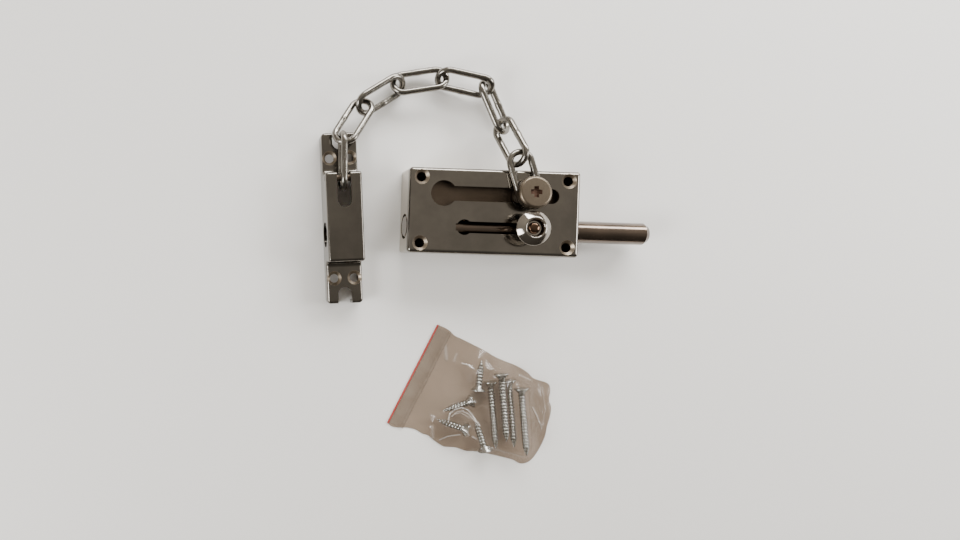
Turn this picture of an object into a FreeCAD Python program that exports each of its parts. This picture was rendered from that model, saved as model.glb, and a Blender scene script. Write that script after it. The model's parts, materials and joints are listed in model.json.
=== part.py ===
# Door chain guard: a surface-mounted slide-bolt lock case, a welded chain with its sliding button, the
# keeper that the chain hangs on, and the grip-seal bag with the wood screws for both, laid out on a table.
# Millimetres. The origin is the middle of the lock case's back face, +X along the case towards the bolt's
# tip, +Y across it, and +Z out of its face. The table is the plane z = 0.
import FreeCAD, Part, Sketcher
import math
import os
import re

from FreeCAD import Placement, Rotation, Vector

DIMENSIONS = [
    # lock case: a pressed shell, open at the back
    ("case_length", 80.0), ("case_width", 40.0), ("case_depth", 17.0), ("case_wall", 1.6),
    ("case_corner", 1.5), ("case_round", 1.7), ("case_fit", 0.1), ("hole_pitch_length", 68.8),
    ("hole_pitch_width", 31.0), ("screw_hole", 4.5), ("hole_bevel", 1.25), ("pillar_diameter", 5.7),
    ("pillar_clearance", 0.15), ("plate_thickness", 1.2),
    # keyhole slot for the chain's button, and the track behind it
    ("track_offset", 8.1), ("track_width", 6.9), ("entry_diameter", 12.0), ("entry_distance", 24.0),
    ("track_end", 26.5), ("track_sheet", 0.8), ("track_floor", 11.8), ("track_clearance", 0.6),
    ("track_spare", 0.65),
    # slot for the bolt's knob
    ("bolt_offset", 7.5), ("knob_slot", 5.4), ("slot_spare", 0.2), ("bay_diameter", 7.3),
    ("notch_width", 3.3), ("notch_length", 4.0),
    # bolt, its guides and its knob
    ("bolt_diameter", 10.5), ("bolt_height", 8.5), ("bolt_reach", 35.4), ("bolt_travel", 28.6),
    ("bolt_tip", 1.8), ("bolt_bevel", 0.6), ("bolt_running", 0.08), ("end_clearance", 0.75),
    ("guide_length", 7.0), ("guide_wall", 1.3), ("guide_distance", 26.5), ("knob_place", 14.7),
    ("knob_hub", 5.0), ("hub_sink", 0.65), ("hub_fit", 0.1), ("knob_diameter", 15.8),
    ("knob_height", 10.9), ("knob_gap", 0.5), ("knob_recess", 7.7), ("knob_screw_shank", 3.0),
    ("knob_screw_head", 5.4), ("knob_screw_bite", 5.0), ("spring_length", 36.0), ("spring_width", 6.0),
    ("spring_sheet", 0.4), ("spring_gap", 0.05),
    # threaded posts and screws that hold the back plate
    ("post_distance", 19.0), ("post_diameter", 6.0), ("back_screw_shank", 3.0),
    ("back_screw_head", 5.2), ("back_screw_bite", 6.0), ("back_screw_fit", 0.1),
    ("thread_depth_spare", 0.5), ("driver_slot", 0.8), ("driver_depth", 0.7), ("driver_rim", 0.6),
    # chain button
    ("button_place", 15.1), ("button_lean", 5.0), ("button_head", 15.0), ("button_thickness", 5.0),
    ("button_edge", 0.7), ("button_neck", 6.0), ("neck_rise", 4.7), ("foot_diameter", 11.5),
    ("foot_thickness", 2.0), ("foot_gap", 0.75), ("button_shank", 4.0), ("cross_span", 5.3),
    ("cross_arm", 1.5), ("cross_depth", 2.2),
    # chain
    ("wire", 3.0), ("link_length", 28.6), ("link_width", 13.0), ("link_lift", 2.75),
    # keeper: a pressed shell with two screw ears
    ("keeper_length", 82.0), ("keeper_width", 17.0), ("keeper_depth", 18.0), ("keeper_wall", 1.5),
    ("ear_height", 7.5), ("ear_sheet", 2.0), ("box_length", 42.0), ("keeper_bend", 2.5),
    ("keeper_round", 1.2), ("keeper_turn", 4.3), ("keeper_slot", 6.5), ("keeper_slot_end", 7.8),
    ("keeper_hole", 4.2), ("keeper_bevel", 1.2), ("ear_hole_pitch", 57.6), ("ear_hole_spread", 9.7),
    ("notch_opening", 6.6), ("notch_depth", 8.0), ("strike_place", 7.8), ("pin_diameter", 3.0),
    ("pin_fit", 0.02), ("pin_inset", 2.6), ("pin_height", 14.6),
    # wood screws
    ("screw_shank", 3.5), ("screw_head", 6.8), ("head_rim", 0.4), ("point_length", 4.5),
    ("long_screw", 33.0), ("short_screw", 15.0), ("screw_cross", 3.4), ("screw_cross_arm", 0.9),
    ("screw_cross_depth", 1.4),
    # bag
    ("bag_length", 72.0), ("bag_width", 54.6), ("bag_slack", 0.8), ("bag_film", 0.25),
    ("seal_width", 8.6), ("screw_rest", 0.1), ("seal_height", 0.9), ("seal_gap", 0.3),
    ("seal_sheet", 0.25), ("rib_width", 1.2), ("rib_slope", 0.3), ("stripe_width", 1.0),
    ("lip_height", 0.4), ("lip_short", 0.1), ("bag_turn", -25.2), ("bag_mouth_x", -31.7),
    ("bag_mouth_y", -79.0), ("bundle_tuck", 0.65), ("bundle_rise", 1.35), ("bundle_stagger", 3.9),
]

# How the chain lies, link by link from the button: the link's heading in the XY plane, the height of the
# joint to the next link, its lean about its own length, and the play between it and the next link.
LAID_CHAIN = [
    {"heading": 106, "lean": 0, "play": 2.3},
    {"heading": 105, "end_height": 7.6, "lean": -61, "play": 2.6},
    {"heading": 115, "end_height": 7.5, "lean": 43, "play": 2.0},
    {"heading": 168, "end_height": 6.0, "lean": -51, "play": 0.8},
    {"heading": 190, "end_height": 5.2, "lean": 21, "play": 1.9},
    {"heading": 214, "end_height": 8.0, "lean": -39, "play": 2.1},
    {"heading": 239, "end_height": 14.6, "lean": 28, "play": 0.9},
    {"heading": 272, "lean": 90, "play": 0.0},
]

# The bag's outline as shares of its length and half width, from the mouth's lower corner round its closed
# end: where the film leaves the table, and where it lies over the screws.
BAG_RIM = [(0.125, -0.95), (0.25, -0.90), (0.42, -0.89), (0.65, -0.79), (0.83, -0.70), (0.96, -0.55),
           (1.0, -0.22), (0.99, 0.18), (0.95, 0.55), (0.81, 0.92), (0.64, 0.99), (0.40, 0.96),
           (0.25, 0.95), (0.125, 0.96)]
BAG_TOP = [(0.22, -0.44), (0.30, -0.55), (0.44, -0.64), (0.65, -0.68), (0.81, -0.62), (0.91, -0.48),
           (0.96, -0.18), (0.945, 0.17), (0.90, 0.48), (0.78, 0.80), (0.63, 0.88), (0.42, 0.82),
           (0.30, 0.62), (0.22, 0.40)]

# Where the screws lie in the bag's frame, in millimetres, and the way that they point, in degrees: the
# near edge of the first long screw's head, and the middle of each short screw's head.
BUNDLE_EDGE = (31.817, 12.098)
BUNDLE_HEADING = -58.0
SHORT_SCREWS = [(31.5, 7.2, 111.0), (31.0, 1.4, 226.0), (47.9, -17.1, 136.0), (35.0, -12.2, 188.0)]

doc = FreeCAD.newDocument("DoorChainGuard")
sheet = doc.addObject("Spreadsheet::Sheet", "Dimensions")
for row, (name, value) in enumerate(DIMENSIONS, start=1):
    sheet.set(f"A{row}", name)
    sheet.set(f"B{row}", str(value))
    sheet.setAlias(f"B{row}", name)
doc.recompute()

NAMES = {name for name, _ in DIMENSIONS}
SUB_PARTS = []


# ---- helpers: sizes, bodies, sketches and features ------------------------------------------------

def in_sheet(text):
    """The expression with each size named as a cell of the sheet."""
    return re.sub(r"[a-z_]+", lambda m: f"Dimensions.{m[0]}" if m[0] in NAMES else m[0], text)


def size(text):
    """The value of an expression in the sheet's sizes."""
    return float(sheet.evalExpression(in_sheet(text)))


def bind(thing, prop, text):
    """Ties a property to the sheet's sizes."""
    thing.setExpression(prop, in_sheet(text))


def sub_part(thing, name):
    """Lists an object as a sub-part under the name its file gets."""
    thing.Label = name
    SUB_PARTS.append(thing)
    return thing


def new_body(name):
    return sub_part(doc.addObject("PartDesign::Body", name), name)


def place(thing, x="0", y="0", z="0"):
    """Moves a sub-part along the axes by expressions."""
    for axis, text in zip("xyz", (x, y, z)):
        bind(thing, f"Placement.Base.{axis}", text)


def new_sketch(body, plane, height="0"):
    """A sketch on one of the body's own origin planes, moved along the plane's normal."""
    sketch = body.newObject("Sketcher::SketchObject", body.Label + "_sketch")
    origin = next(f for f in body.Origin.OriginFeatures if f.Role == plane)
    sketch.AttachmentSupport = [(origin, "")]
    sketch.MapMode = "FlatFace"
    bind(sketch, "AttachmentOffset.Base.z", height)
    return sketch


def pin_point(sketch, geometry, point, x, y):
    """Fixes a point of the sketch at x, y, both expressions, counted from the sketch's origin."""
    for kind, text in (("DistanceX", x), ("DistanceY", y)):
        index = sketch.addConstraint(Sketcher.Constraint(kind, -1, 1, geometry, point, size(text)))
        bind(sketch, f"Constraints[{index}]", text)


def add_circle(sketch, x, y, diameter):
    circle = Part.Circle(Vector(size(x), size(y), 0), Vector(0, 0, 1), size(diameter) / 2)
    geometry = sketch.addGeometry(circle, False)
    pin_point(sketch, geometry, 3, x, y)
    index = sketch.addConstraint(Sketcher.Constraint("Diameter", geometry, size(diameter)))
    bind(sketch, f"Constraints[{index}]", diameter)


def add_outline(sketch, points):
    """A closed outline of straight lines through points given as pairs of expressions."""
    spots = [Vector(size(x), size(y), 0) for x, y in points]
    lines = [
        sketch.addGeometry(Part.LineSegment(a, b), False)
        for a, b in zip(spots, spots[1:] + spots[:1])
    ]
    for one, following in zip(lines, lines[1:] + lines[:1]):
        sketch.addConstraint(Sketcher.Constraint("Coincident", one, 2, following, 1))
    for line, (x, y) in zip(lines, points):
        pin_point(sketch, line, 1, x, y)


def add_box(sketch, left, right, low, high):
    add_outline(sketch, [(left, low), (right, low), (right, high), (left, high)])


def pad(body, sketch, length, midplane=False, down=False):
    feature = body.newObject("PartDesign::Pad", body.Label + "_pad")
    feature.Profile = sketch
    feature.Midplane = midplane
    feature.Reversed = down
    bind(feature, "Length", length)
    doc.recompute()
    return feature


def pocket(body, sketch, depth, midplane=False, up=False):
    """Cuts the sketch out of the body, and stops if it took nothing away."""
    before = body.Shape.Volume
    feature = body.newObject("PartDesign::Pocket", body.Label + "_pocket")
    feature.Profile = sketch
    feature.Midplane = midplane
    feature.Reversed = up
    bind(feature, "Length", depth)
    doc.recompute()
    if body.Shape.Volume > before - 1e-3:
        raise ValueError(f"a pocket of {body.Label} cut nothing")
    return feature


def revolve(body, sketch, axis="V_Axis", angle=360.0, backwards=False):
    feature = body.newObject("PartDesign::Revolution", body.Label + "_turned")
    feature.Profile = sketch
    feature.ReferenceAxis = (sketch, [axis])
    feature.Angle = angle
    feature.Reversed = backwards
    doc.recompute()
    return feature


def edges_where(shape, test):
    """The names of the shape's edges that pass the test."""
    return [f"Edge{i}" for i, edge in enumerate(shape.Edges, start=1) if test(edge)]


def soften(body, kind, amount, test):
    """Rounds (Fillet) or bevels (Chamfer) the body's edges that pass the test."""
    last = body.Tip
    names = edges_where(last.Shape, test)
    if not names:
        raise ValueError(f"no edge of {body.Label} to soften")
    feature = body.newObject(f"PartDesign::{kind}", f"{body.Label}_{kind.lower()}")
    feature.Base = (last, names)
    bind(feature, "Radius" if kind == "Fillet" else "Size", amount)
    doc.recompute()
    return feature


def rounded(vector, digits):
    return tuple(round(v, digits) for v in vector)


def near(a, b, slack=1e-4):
    return abs(a - b) < slack


def is_circle(edge, diameter, z):
    """Whether the edge is a full level circle of this diameter at height z."""
    box = edge.BoundBox
    return (
        near(box.ZMin, z)
        and near(box.ZMax, z)
        and near(box.XLength, diameter, 1e-2)
        and near(box.YLength, diameter, 1e-2)
        and near(edge.Length, math.pi * diameter, 1e-2)
    )


def level_at(edge, z):
    """Whether the whole edge lies at height z."""
    return near(edge.BoundBox.ZMin, z) and near(edge.BoundBox.ZMax, z)


def upright(edge):
    """Whether the edge is a straight one along Z."""
    box = edge.BoundBox
    return box.ZLength > 0.1 and box.XLength < 1e-4 and box.YLength < 1e-4


CORNERS = [(sx, sy) for sx in ("", "-") for sy in ("", "-")]


# ---- lock case ------------------------------------------------------------------------------------

BOLT_Y = "-bolt_offset"
END_HOLE = "bolt_diameter + 2 * end_clearance"
KNOB_SLOT_END = "knob_place + knob_hub / 2 + slot_spare"
BAY_X = "knob_place - bolt_travel"
FACE_BACK = "case_depth - case_wall"


def four_holes(sketch, diameter, pitch_x="hole_pitch_length", pitch_y="hole_pitch_width"):
    for sx, sy in CORNERS:
        add_circle(sketch, f"{sx}{pitch_x} / 2", f"{sy}{pitch_y} / 2", diameter)


def case_shell():
    body = new_body("case_shell")
    outline = new_sketch(body, "XY_Plane")
    add_box(outline, "-case_length / 2", "case_length / 2", "-case_width / 2", "case_width / 2")
    pad(body, outline, "case_depth")
    soften(body, "Fillet", "case_corner", upright)
    top = size("case_depth")
    soften(body, "Fillet", "case_round", lambda e: level_at(e, top))
    hollow = new_sketch(body, "XY_Plane")
    add_box(hollow, "-case_length / 2 + case_wall", "case_length / 2 - case_wall",
            "-case_width / 2 + case_wall", "case_width / 2 - case_wall")
    pocket(body, hollow, FACE_BACK, up=True)

    entry = new_sketch(body, "XY_Plane", "case_depth")
    add_circle(entry, "-entry_distance", "track_offset", "entry_diameter")
    pocket(body, entry, "2 * case_wall")
    slot = new_sketch(body, "XY_Plane", "case_depth")
    add_box(slot, "-entry_distance", "track_end",
            "track_offset - track_width / 2", "track_offset + track_width / 2")
    pocket(body, slot, "2 * case_wall")
    slot_end = new_sketch(body, "XY_Plane", "case_depth")
    add_circle(slot_end, "track_end", "track_offset", "track_width")
    pocket(body, slot_end, "2 * case_wall")

    bay = new_sketch(body, "XY_Plane", "case_depth")
    add_circle(bay, BAY_X, BOLT_Y, "bay_diameter")
    pocket(body, bay, "2 * case_wall")
    run = new_sketch(body, "XY_Plane", "case_depth")
    add_box(run, BAY_X, f"{KNOB_SLOT_END} - knob_slot / 2",
            f"{BOLT_Y} - knob_slot / 2", f"{BOLT_Y} + knob_slot / 2")
    pocket(body, run, "2 * case_wall")
    run_end = new_sketch(body, "XY_Plane", "case_depth")
    add_circle(run_end, f"{KNOB_SLOT_END} - knob_slot / 2", BOLT_Y, "knob_slot")
    pocket(body, run_end, "2 * case_wall")
    notch = new_sketch(body, "XY_Plane", "case_depth")
    add_box(notch, f"{BAY_X} - notch_length", BAY_X,
            f"{BOLT_Y} - notch_width / 2", f"{BOLT_Y} + notch_width / 2")
    pocket(body, notch, "2 * case_wall")

    ends = new_sketch(body, "YZ_Plane")
    add_circle(ends, BOLT_Y, "bolt_height", END_HOLE)
    pocket(body, ends, "case_length + 2", midplane=True)
    holes = new_sketch(body, "XY_Plane", "case_depth")
    four_holes(holes, "screw_hole")
    pocket(body, holes, "2 * case_wall")
    hole = size("screw_hole")
    soften(body, "Chamfer", "hole_bevel", lambda e: is_circle(e, hole, top))


def back_plate():
    """The sheet that closes the case's back, with holes for the wood screws and for its own two screws."""
    body = new_body("back_plate")
    outline = new_sketch(body, "XY_Plane")
    add_box(outline, "-case_length / 2 + case_wall + case_fit", "case_length / 2 - case_wall - case_fit",
            "-case_width / 2 + case_wall + case_fit", "case_width / 2 - case_wall - case_fit")
    pad(body, outline, "plate_thickness")
    holes = new_sketch(body, "XY_Plane")
    four_holes(holes, "screw_hole")
    pocket(body, holes, "plate_thickness", up=True)
    screws = new_sketch(body, "XY_Plane")
    for side in ("", "-"):
        add_circle(screws, f"{side}post_distance", "track_offset", "back_screw_shank + 2 * back_screw_fit")
    pocket(body, screws, "plate_thickness", up=True)
    hole = size("back_screw_shank + 2 * back_screw_fit")
    soften(body, "Chamfer", "plate_thickness - back_screw_fit", lambda e: is_circle(e, hole, 0.0))


def screw_pillars():
    """Four tubes that keep the face from sinking in under the wood screws, cut away where the bolt runs."""
    body = new_body("screw_pillars")
    tubes = new_sketch(body, "XY_Plane", "plate_thickness")
    four_holes(tubes, "pillar_diameter")
    pad(body, tubes, f"{FACE_BACK} - plate_thickness")
    bores = new_sketch(body, "XY_Plane", "plate_thickness")
    four_holes(bores, "screw_hole")
    pocket(body, bores, FACE_BACK, up=True)
    bolt_way = new_sketch(body, "YZ_Plane")
    add_circle(bolt_way, BOLT_Y, "bolt_height", "bolt_diameter + 2 * pillar_clearance")
    pocket(body, bolt_way, "case_length", midplane=True)


def chain_track():
    """The channel behind the keyhole slot that the button's foot runs in."""
    body = new_body("chain_track")
    inner = "(foot_diameter / 2 + track_clearance)"
    section = new_sketch(body, "YZ_Plane")
    add_outline(section, [
        (f"track_offset - {inner} - track_sheet", "track_floor - track_sheet"),
        (f"track_offset + {inner} + track_sheet", "track_floor - track_sheet"),
        (f"track_offset + {inner} + track_sheet", FACE_BACK),
        (f"track_offset + {inner}", FACE_BACK),
        (f"track_offset + {inner}", "track_floor"),
        (f"track_offset - {inner}", "track_floor"),
        (f"track_offset - {inner}", FACE_BACK),
        (f"track_offset - {inner} - track_sheet", FACE_BACK),
    ])
    pad(body, section, "hole_pitch_length - pillar_diameter - 2 * track_spare", midplane=True)


def track_posts():
    """Two threaded posts under the track, which the back plate is screwed to."""
    body = new_body("track_posts")
    posts = new_sketch(body, "XY_Plane", "plate_thickness")
    for side in ("", "-"):
        add_circle(posts, f"{side}post_distance", "track_offset", "post_diameter")
    pad(body, posts, "track_floor - track_sheet - plate_thickness")
    threads = new_sketch(body, "XY_Plane", "plate_thickness")
    for side in ("", "-"):
        add_circle(threads, f"{side}post_distance", "track_offset", "back_screw_shank")
    pocket(body, threads, "back_screw_bite + thread_depth_spare", up=True)


def back_screw(side, name):
    """One countersunk machine screw, head down in the back plate."""
    body = new_body(name)
    profile = new_sketch(body, "XZ_Plane")
    add_outline(profile, [
        ("0", "0"),
        ("back_screw_head / 2", "0"),
        ("back_screw_shank / 2", "plate_thickness - back_screw_fit"),
        ("back_screw_shank / 2", "plate_thickness + back_screw_bite"),
        ("0", "plate_thickness + back_screw_bite"),
    ])
    revolve(body, profile)
    driver = new_sketch(body, "XY_Plane")
    add_box(driver, "-back_screw_head / 2 + driver_rim", "back_screw_head / 2 - driver_rim",
            "-driver_slot / 2", "driver_slot / 2")
    pocket(body, driver, "driver_depth", up=True)
    place(body, f"{side}post_distance", "track_offset")


def guide_block(side, name):
    """A block between the back plate and the face that the bolt slides through."""
    body = new_body(name)
    block = new_sketch(body, "YZ_Plane")
    half = "(bolt_diameter / 2 + bolt_running + guide_wall)"
    add_box(block, f"{BOLT_Y} - {half}", f"{BOLT_Y} + {half}", "plate_thickness", FACE_BACK)
    pad(body, block, "guide_length", midplane=True)
    bore = new_sketch(body, "YZ_Plane")
    add_circle(bore, BOLT_Y, "bolt_height", "bolt_diameter + 2 * bolt_running")
    pocket(body, bore, "guide_length + 2", midplane=True)
    place(body, f"{side}guide_distance")


def bolt_spring():
    """An arched leaf between the back plate and the bolt that keeps the bolt where it is pushed."""
    rise = "(bolt_height - bolt_diameter / 2 - spring_gap - plate_thickness)"
    radius = f"((spring_length ^ 2 / 4 + {rise} ^ 2) / (2 * {rise}))"
    rings = []
    for name, less in (("spring_outside", "0"), ("spring_inside", "spring_sheet")):
        ring = doc.addObject("Part::Cylinder", name)
        bind(ring, "Radius", f"{radius} - {less}")
        bind(ring, "Height", "spring_width")
        ring.Placement = Placement(Vector(), Rotation(Vector(1, 0, 0), 90))
        place(ring, y=f"{BOLT_Y} + spring_width / 2", z=f"plate_thickness + {rise} - {radius}")
        rings.append(ring)
    leaf = doc.addObject("Part::Cut", "spring_ring")
    leaf.Base, leaf.Tool = rings
    window = doc.addObject("Part::Box", "spring_window")
    bind(window, "Length", "spring_length")
    bind(window, "Width", "spring_width")
    bind(window, "Height", f"{rise} + 1")
    place(window, "-spring_length / 2", f"{BOLT_Y} - spring_width / 2", "plate_thickness")
    spring = doc.addObject("Part::Common", "bolt_spring")
    spring.Base, spring.Tool = leaf, window
    sub_part(spring, "bolt_spring")


# ---- bolt and knob --------------------------------------------------------------------------------

BOLT_LENGTH = "(case_length + bolt_reach)"
HUB_FOOT = "(bolt_height + bolt_diameter / 2 - hub_sink)"


def bolt_rod():
    """The round bolt: its tip stands out of one end of the case and its tail is flush with the other."""
    body = new_body("bolt_rod")
    profile = new_sketch(body, "XZ_Plane")
    radius = "bolt_diameter / 2"
    add_outline(profile, [
        ("-case_length / 2", "0"),
        ("-case_length / 2", f"{radius} - bolt_bevel"),
        ("-case_length / 2 + bolt_bevel", radius),
        ("case_length / 2 + bolt_reach - bolt_tip", radius),
        ("case_length / 2 + bolt_reach", f"{radius} - 0.6 * bolt_tip"),
        ("case_length / 2 + bolt_reach", "0"),
    ])
    revolve(body, profile, "H_Axis")
    flat = new_sketch(body, "XY_Plane", "bolt_diameter / 2")
    add_circle(flat, "knob_place", "0", "knob_hub + 2 * hub_fit")
    pocket(body, flat, "hub_sink")
    thread = new_sketch(body, "XY_Plane", "bolt_diameter / 2")
    add_circle(thread, "knob_place", "0", "knob_screw_shank")
    pocket(body, thread, "hub_sink + knob_screw_bite + thread_depth_spare")
    place(body, "0", BOLT_Y, "bolt_height")


def bolt_knob():
    """The turned knob: a hub through the slot, a flared neck, a domed ring and a recess for its screw."""
    body = new_body("bolt_knob")
    half = "knob_diameter / 2"
    low = f"case_depth - {HUB_FOOT} + knob_gap"
    rim = f"case_depth - {HUB_FOOT} + knob_height - 1.9"
    crown = f"case_depth - {HUB_FOOT} + knob_height + 0.4"
    profile = new_sketch(body, "XZ_Plane")
    add_outline(profile, [
        ("knob_screw_shank / 2", "0"),
        ("knob_hub / 2", "0"),
        ("knob_hub / 2", low),
        ("knob_hub / 2 + 1.6", low),
        ("knob_hub / 2 + 1.9", f"{low} + 3"),
        ("knob_hub / 2 + 2.9", f"{low} + 5.4"),
        (f"{half} - 1", f"{rim} - 1.3"),
        (half, f"{rim} - 0.8"),
        (half, rim),
        (f"{half} - 0.25", f"{rim} + 0.7"),
        (f"{half} - 1.3", f"{rim} + 1.7"),
        ("knob_recess / 2 + 1.1", crown),
        ("knob_recess / 2 + 0.3", crown),
        ("knob_recess / 2", f"{crown} - 0.3"),
        ("knob_recess / 2 - 0.4", f"{crown} - 2.4"),
        ("knob_screw_shank / 2", f"{crown} - 2.4"),
    ])
    revolve(body, profile)
    place(body, "knob_place", BOLT_Y, HUB_FOOT)


def knob_screw():
    """The domed screw in the knob's recess, which holds the knob to the bolt."""
    body = new_body("knob_screw")
    half = "knob_screw_head / 2"
    profile = new_sketch(body, "XZ_Plane")
    add_outline(profile, [
        ("0", f"{HUB_FOOT} - case_depth - knob_height + 2 - knob_screw_bite"),
        ("knob_screw_shank / 2", f"{HUB_FOOT} - case_depth - knob_height + 2 - knob_screw_bite"),
        ("knob_screw_shank / 2", "0"),
        (half, "0"),
        (half, "0.5"),
        (f"0.86 * {half}", "1.05"),
        (f"0.55 * {half}", "1.5"),
        (f"0.2 * {half}", "1.7"),
        ("0", "1.72"),
    ])
    revolve(body, profile)
    place(body, "knob_place", BOLT_Y, "case_depth + knob_height - 2")


# ---- chain button: local z = 0 is the case's face, and the button leans a little towards the chain ----

def button_placement():
    return Placement(
        Vector(size("button_place"), size("track_offset"), size("case_depth")),
        Rotation(Vector(1, 0, 0), -size("button_lean")),
    )


def add_cross(body, top, span, arm, depth):
    """Sinks a cross for the screwdriver into the body's top."""
    cross = new_sketch(body, "XY_Plane", top)
    a, b = f"{span} / 2", f"{arm} / 2"
    add_outline(cross, [
        (a, f"-{b}"), (a, b), (b, b), (b, a), (f"-{b}", a), (f"-{b}", b),
        (f"-{a}", b), (f"-{a}", f"-{b}"), (f"-{b}", f"-{b}"), (f"-{b}", f"-{a}"),
        (b, f"-{a}"), (b, f"-{b}"),
    ])
    pocket(body, cross, depth)


def button_screw():
    """The button's broad head with its shank, driven into the foot."""
    body = new_body("button_screw")
    half = "button_head / 2"
    top = "neck_rise + button_thickness"
    profile = new_sketch(body, "XZ_Plane")
    add_outline(profile, [
        ("0", "-case_wall - foot_gap"),
        ("button_shank / 2", "-case_wall - foot_gap"),
        ("button_shank / 2", "neck_rise"),
        (f"{half} - 0.4", "neck_rise"),
        (half, "neck_rise + 0.4"),
        (half, f"{top} - button_edge"),
        (f"{half} - button_edge", top),
        ("0", top),
    ])
    revolve(body, profile)
    add_cross(body, top, "cross_span", "cross_arm", "cross_depth")
    body.Placement = button_placement()


def button_foot():
    """The neck that the end link turns on and the flange that runs in the track."""
    body = new_body("button_foot")
    profile = new_sketch(body, "XZ_Plane")
    add_outline(profile, [
        ("0", "-case_wall - foot_gap - foot_thickness"),
        ("foot_diameter / 2", "-case_wall - foot_gap - foot_thickness"),
        ("foot_diameter / 2", "-case_wall - foot_gap"),
        ("button_neck / 2", "-case_wall - foot_gap"),
        ("button_neck / 2", "neck_rise"),
        ("button_shank / 2", "neck_rise"),
        ("button_shank / 2", "-case_wall - foot_gap"),
        ("0", "-case_wall - foot_gap"),
    ])
    revolve(body, profile)
    body.Placement = button_placement()


# ---- chain ----------------------------------------------------------------------------------------

def laid_links():
    """Where each link lies (its middle, its length's way and its width's way), and the keeper's pin.

    The first link lies round the button's neck, square to it. Each further link starts at the joint that
    the one before it ends in, heads its own way and rises or falls to the height of its own far joint. The
    last one ends round the keeper's pin, with the pin at the centre of its end bend.
    """
    straight = size("link_length - link_width")
    half_inside = size("link_length / 2 - wire")
    button = button_placement()
    neck_axis = button.Rotation.multVec(Vector(0, 0, 1))
    neck = button.multVec(Vector(0, 0, size("link_lift")))
    links = []
    joint = None
    for number, laid in enumerate(LAID_CHAIN):
        heading = math.radians(laid["heading"])
        flat_way = Vector(math.cos(heading), math.sin(heading), 0)
        if joint is None:
            way = flat_way - neck_axis * flat_way.dot(neck_axis)
            way.normalize()
            across = neck_axis.cross(way)
            middle = neck + way * (straight / 2)
        else:
            near_play = LAID_CHAIN[number - 1]["play"] / 2
            last = number == len(LAID_CHAIN) - 1
            end = straight / 2 if last else half_inside - laid["play"] / 2
            end_height = size("pin_height") if last else laid["end_height"]
            span = half_inside - near_play + end
            rise = end_height - joint.z
            way = flat_way * math.sqrt(span ** 2 - rise ** 2) + Vector(0, 0, rise)
            way.normalize()
            level = Vector(0, 0, 1).cross(way)
            level.normalize()
            lean = math.radians(laid["lean"])
            across = level * math.cos(lean) + way.cross(level) * math.sin(lean)
            middle = joint + way * (half_inside - near_play)
        links.append((middle, way, across))
        joint = middle + way * (half_inside - laid["play"] / 2)
    pin = links[-1][0] + links[-1][1] * (straight / 2)
    return links, pin


def chain_link(number, middle, way, across):
    """A welded link: two straight bars, and a half turn of the same wire at each end."""
    body = new_body(f"chain_link_{number}")
    bend = "(link_width - wire) / 2"
    straight = "link_length - link_width"
    bars = new_sketch(body, "YZ_Plane")
    add_circle(bars, bend, "0", "wire")
    add_circle(bars, f"-{bend}", "0", "wire")
    pad(body, bars, straight, midplane=True)
    for side, backwards in (("", False), ("-", True)):
        end = new_sketch(body, "YZ_Plane", f"{side}({straight}) / 2")
        add_circle(end, bend, "0", "wire")
        revolve(body, end, angle=180.0, backwards=not backwards)
    body.Placement = Placement(middle, Rotation(way, across, way.cross(across), "XYZ"))
    wire = size("wire")
    right = math.pi * wire ** 2 / 4 * (2 * size(straight) + 2 * math.pi * size(bend))
    if abs(body.Shape.Volume - right) > 0.01 * right:
        raise ValueError(f"{body.Label} has the wrong volume: {body.Shape.Volume} instead of {right}")


# ---- keeper: local x across, y along, with its middle over the origin and its back on z = 0 -------

PIN_Y = "(box_length / 2 - pin_inset)"


def keeper_placement(pin):
    """The keeper, turned, with its pin's middle over or under the end of the chain."""
    turn = Rotation(Vector(0, 0, 1), size("keeper_turn"))
    reach = turn.multVec(Vector(0, size(PIN_Y), 0))
    return Placement(Vector(pin.x - reach.x, pin.y - reach.y, 0), turn)


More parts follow.
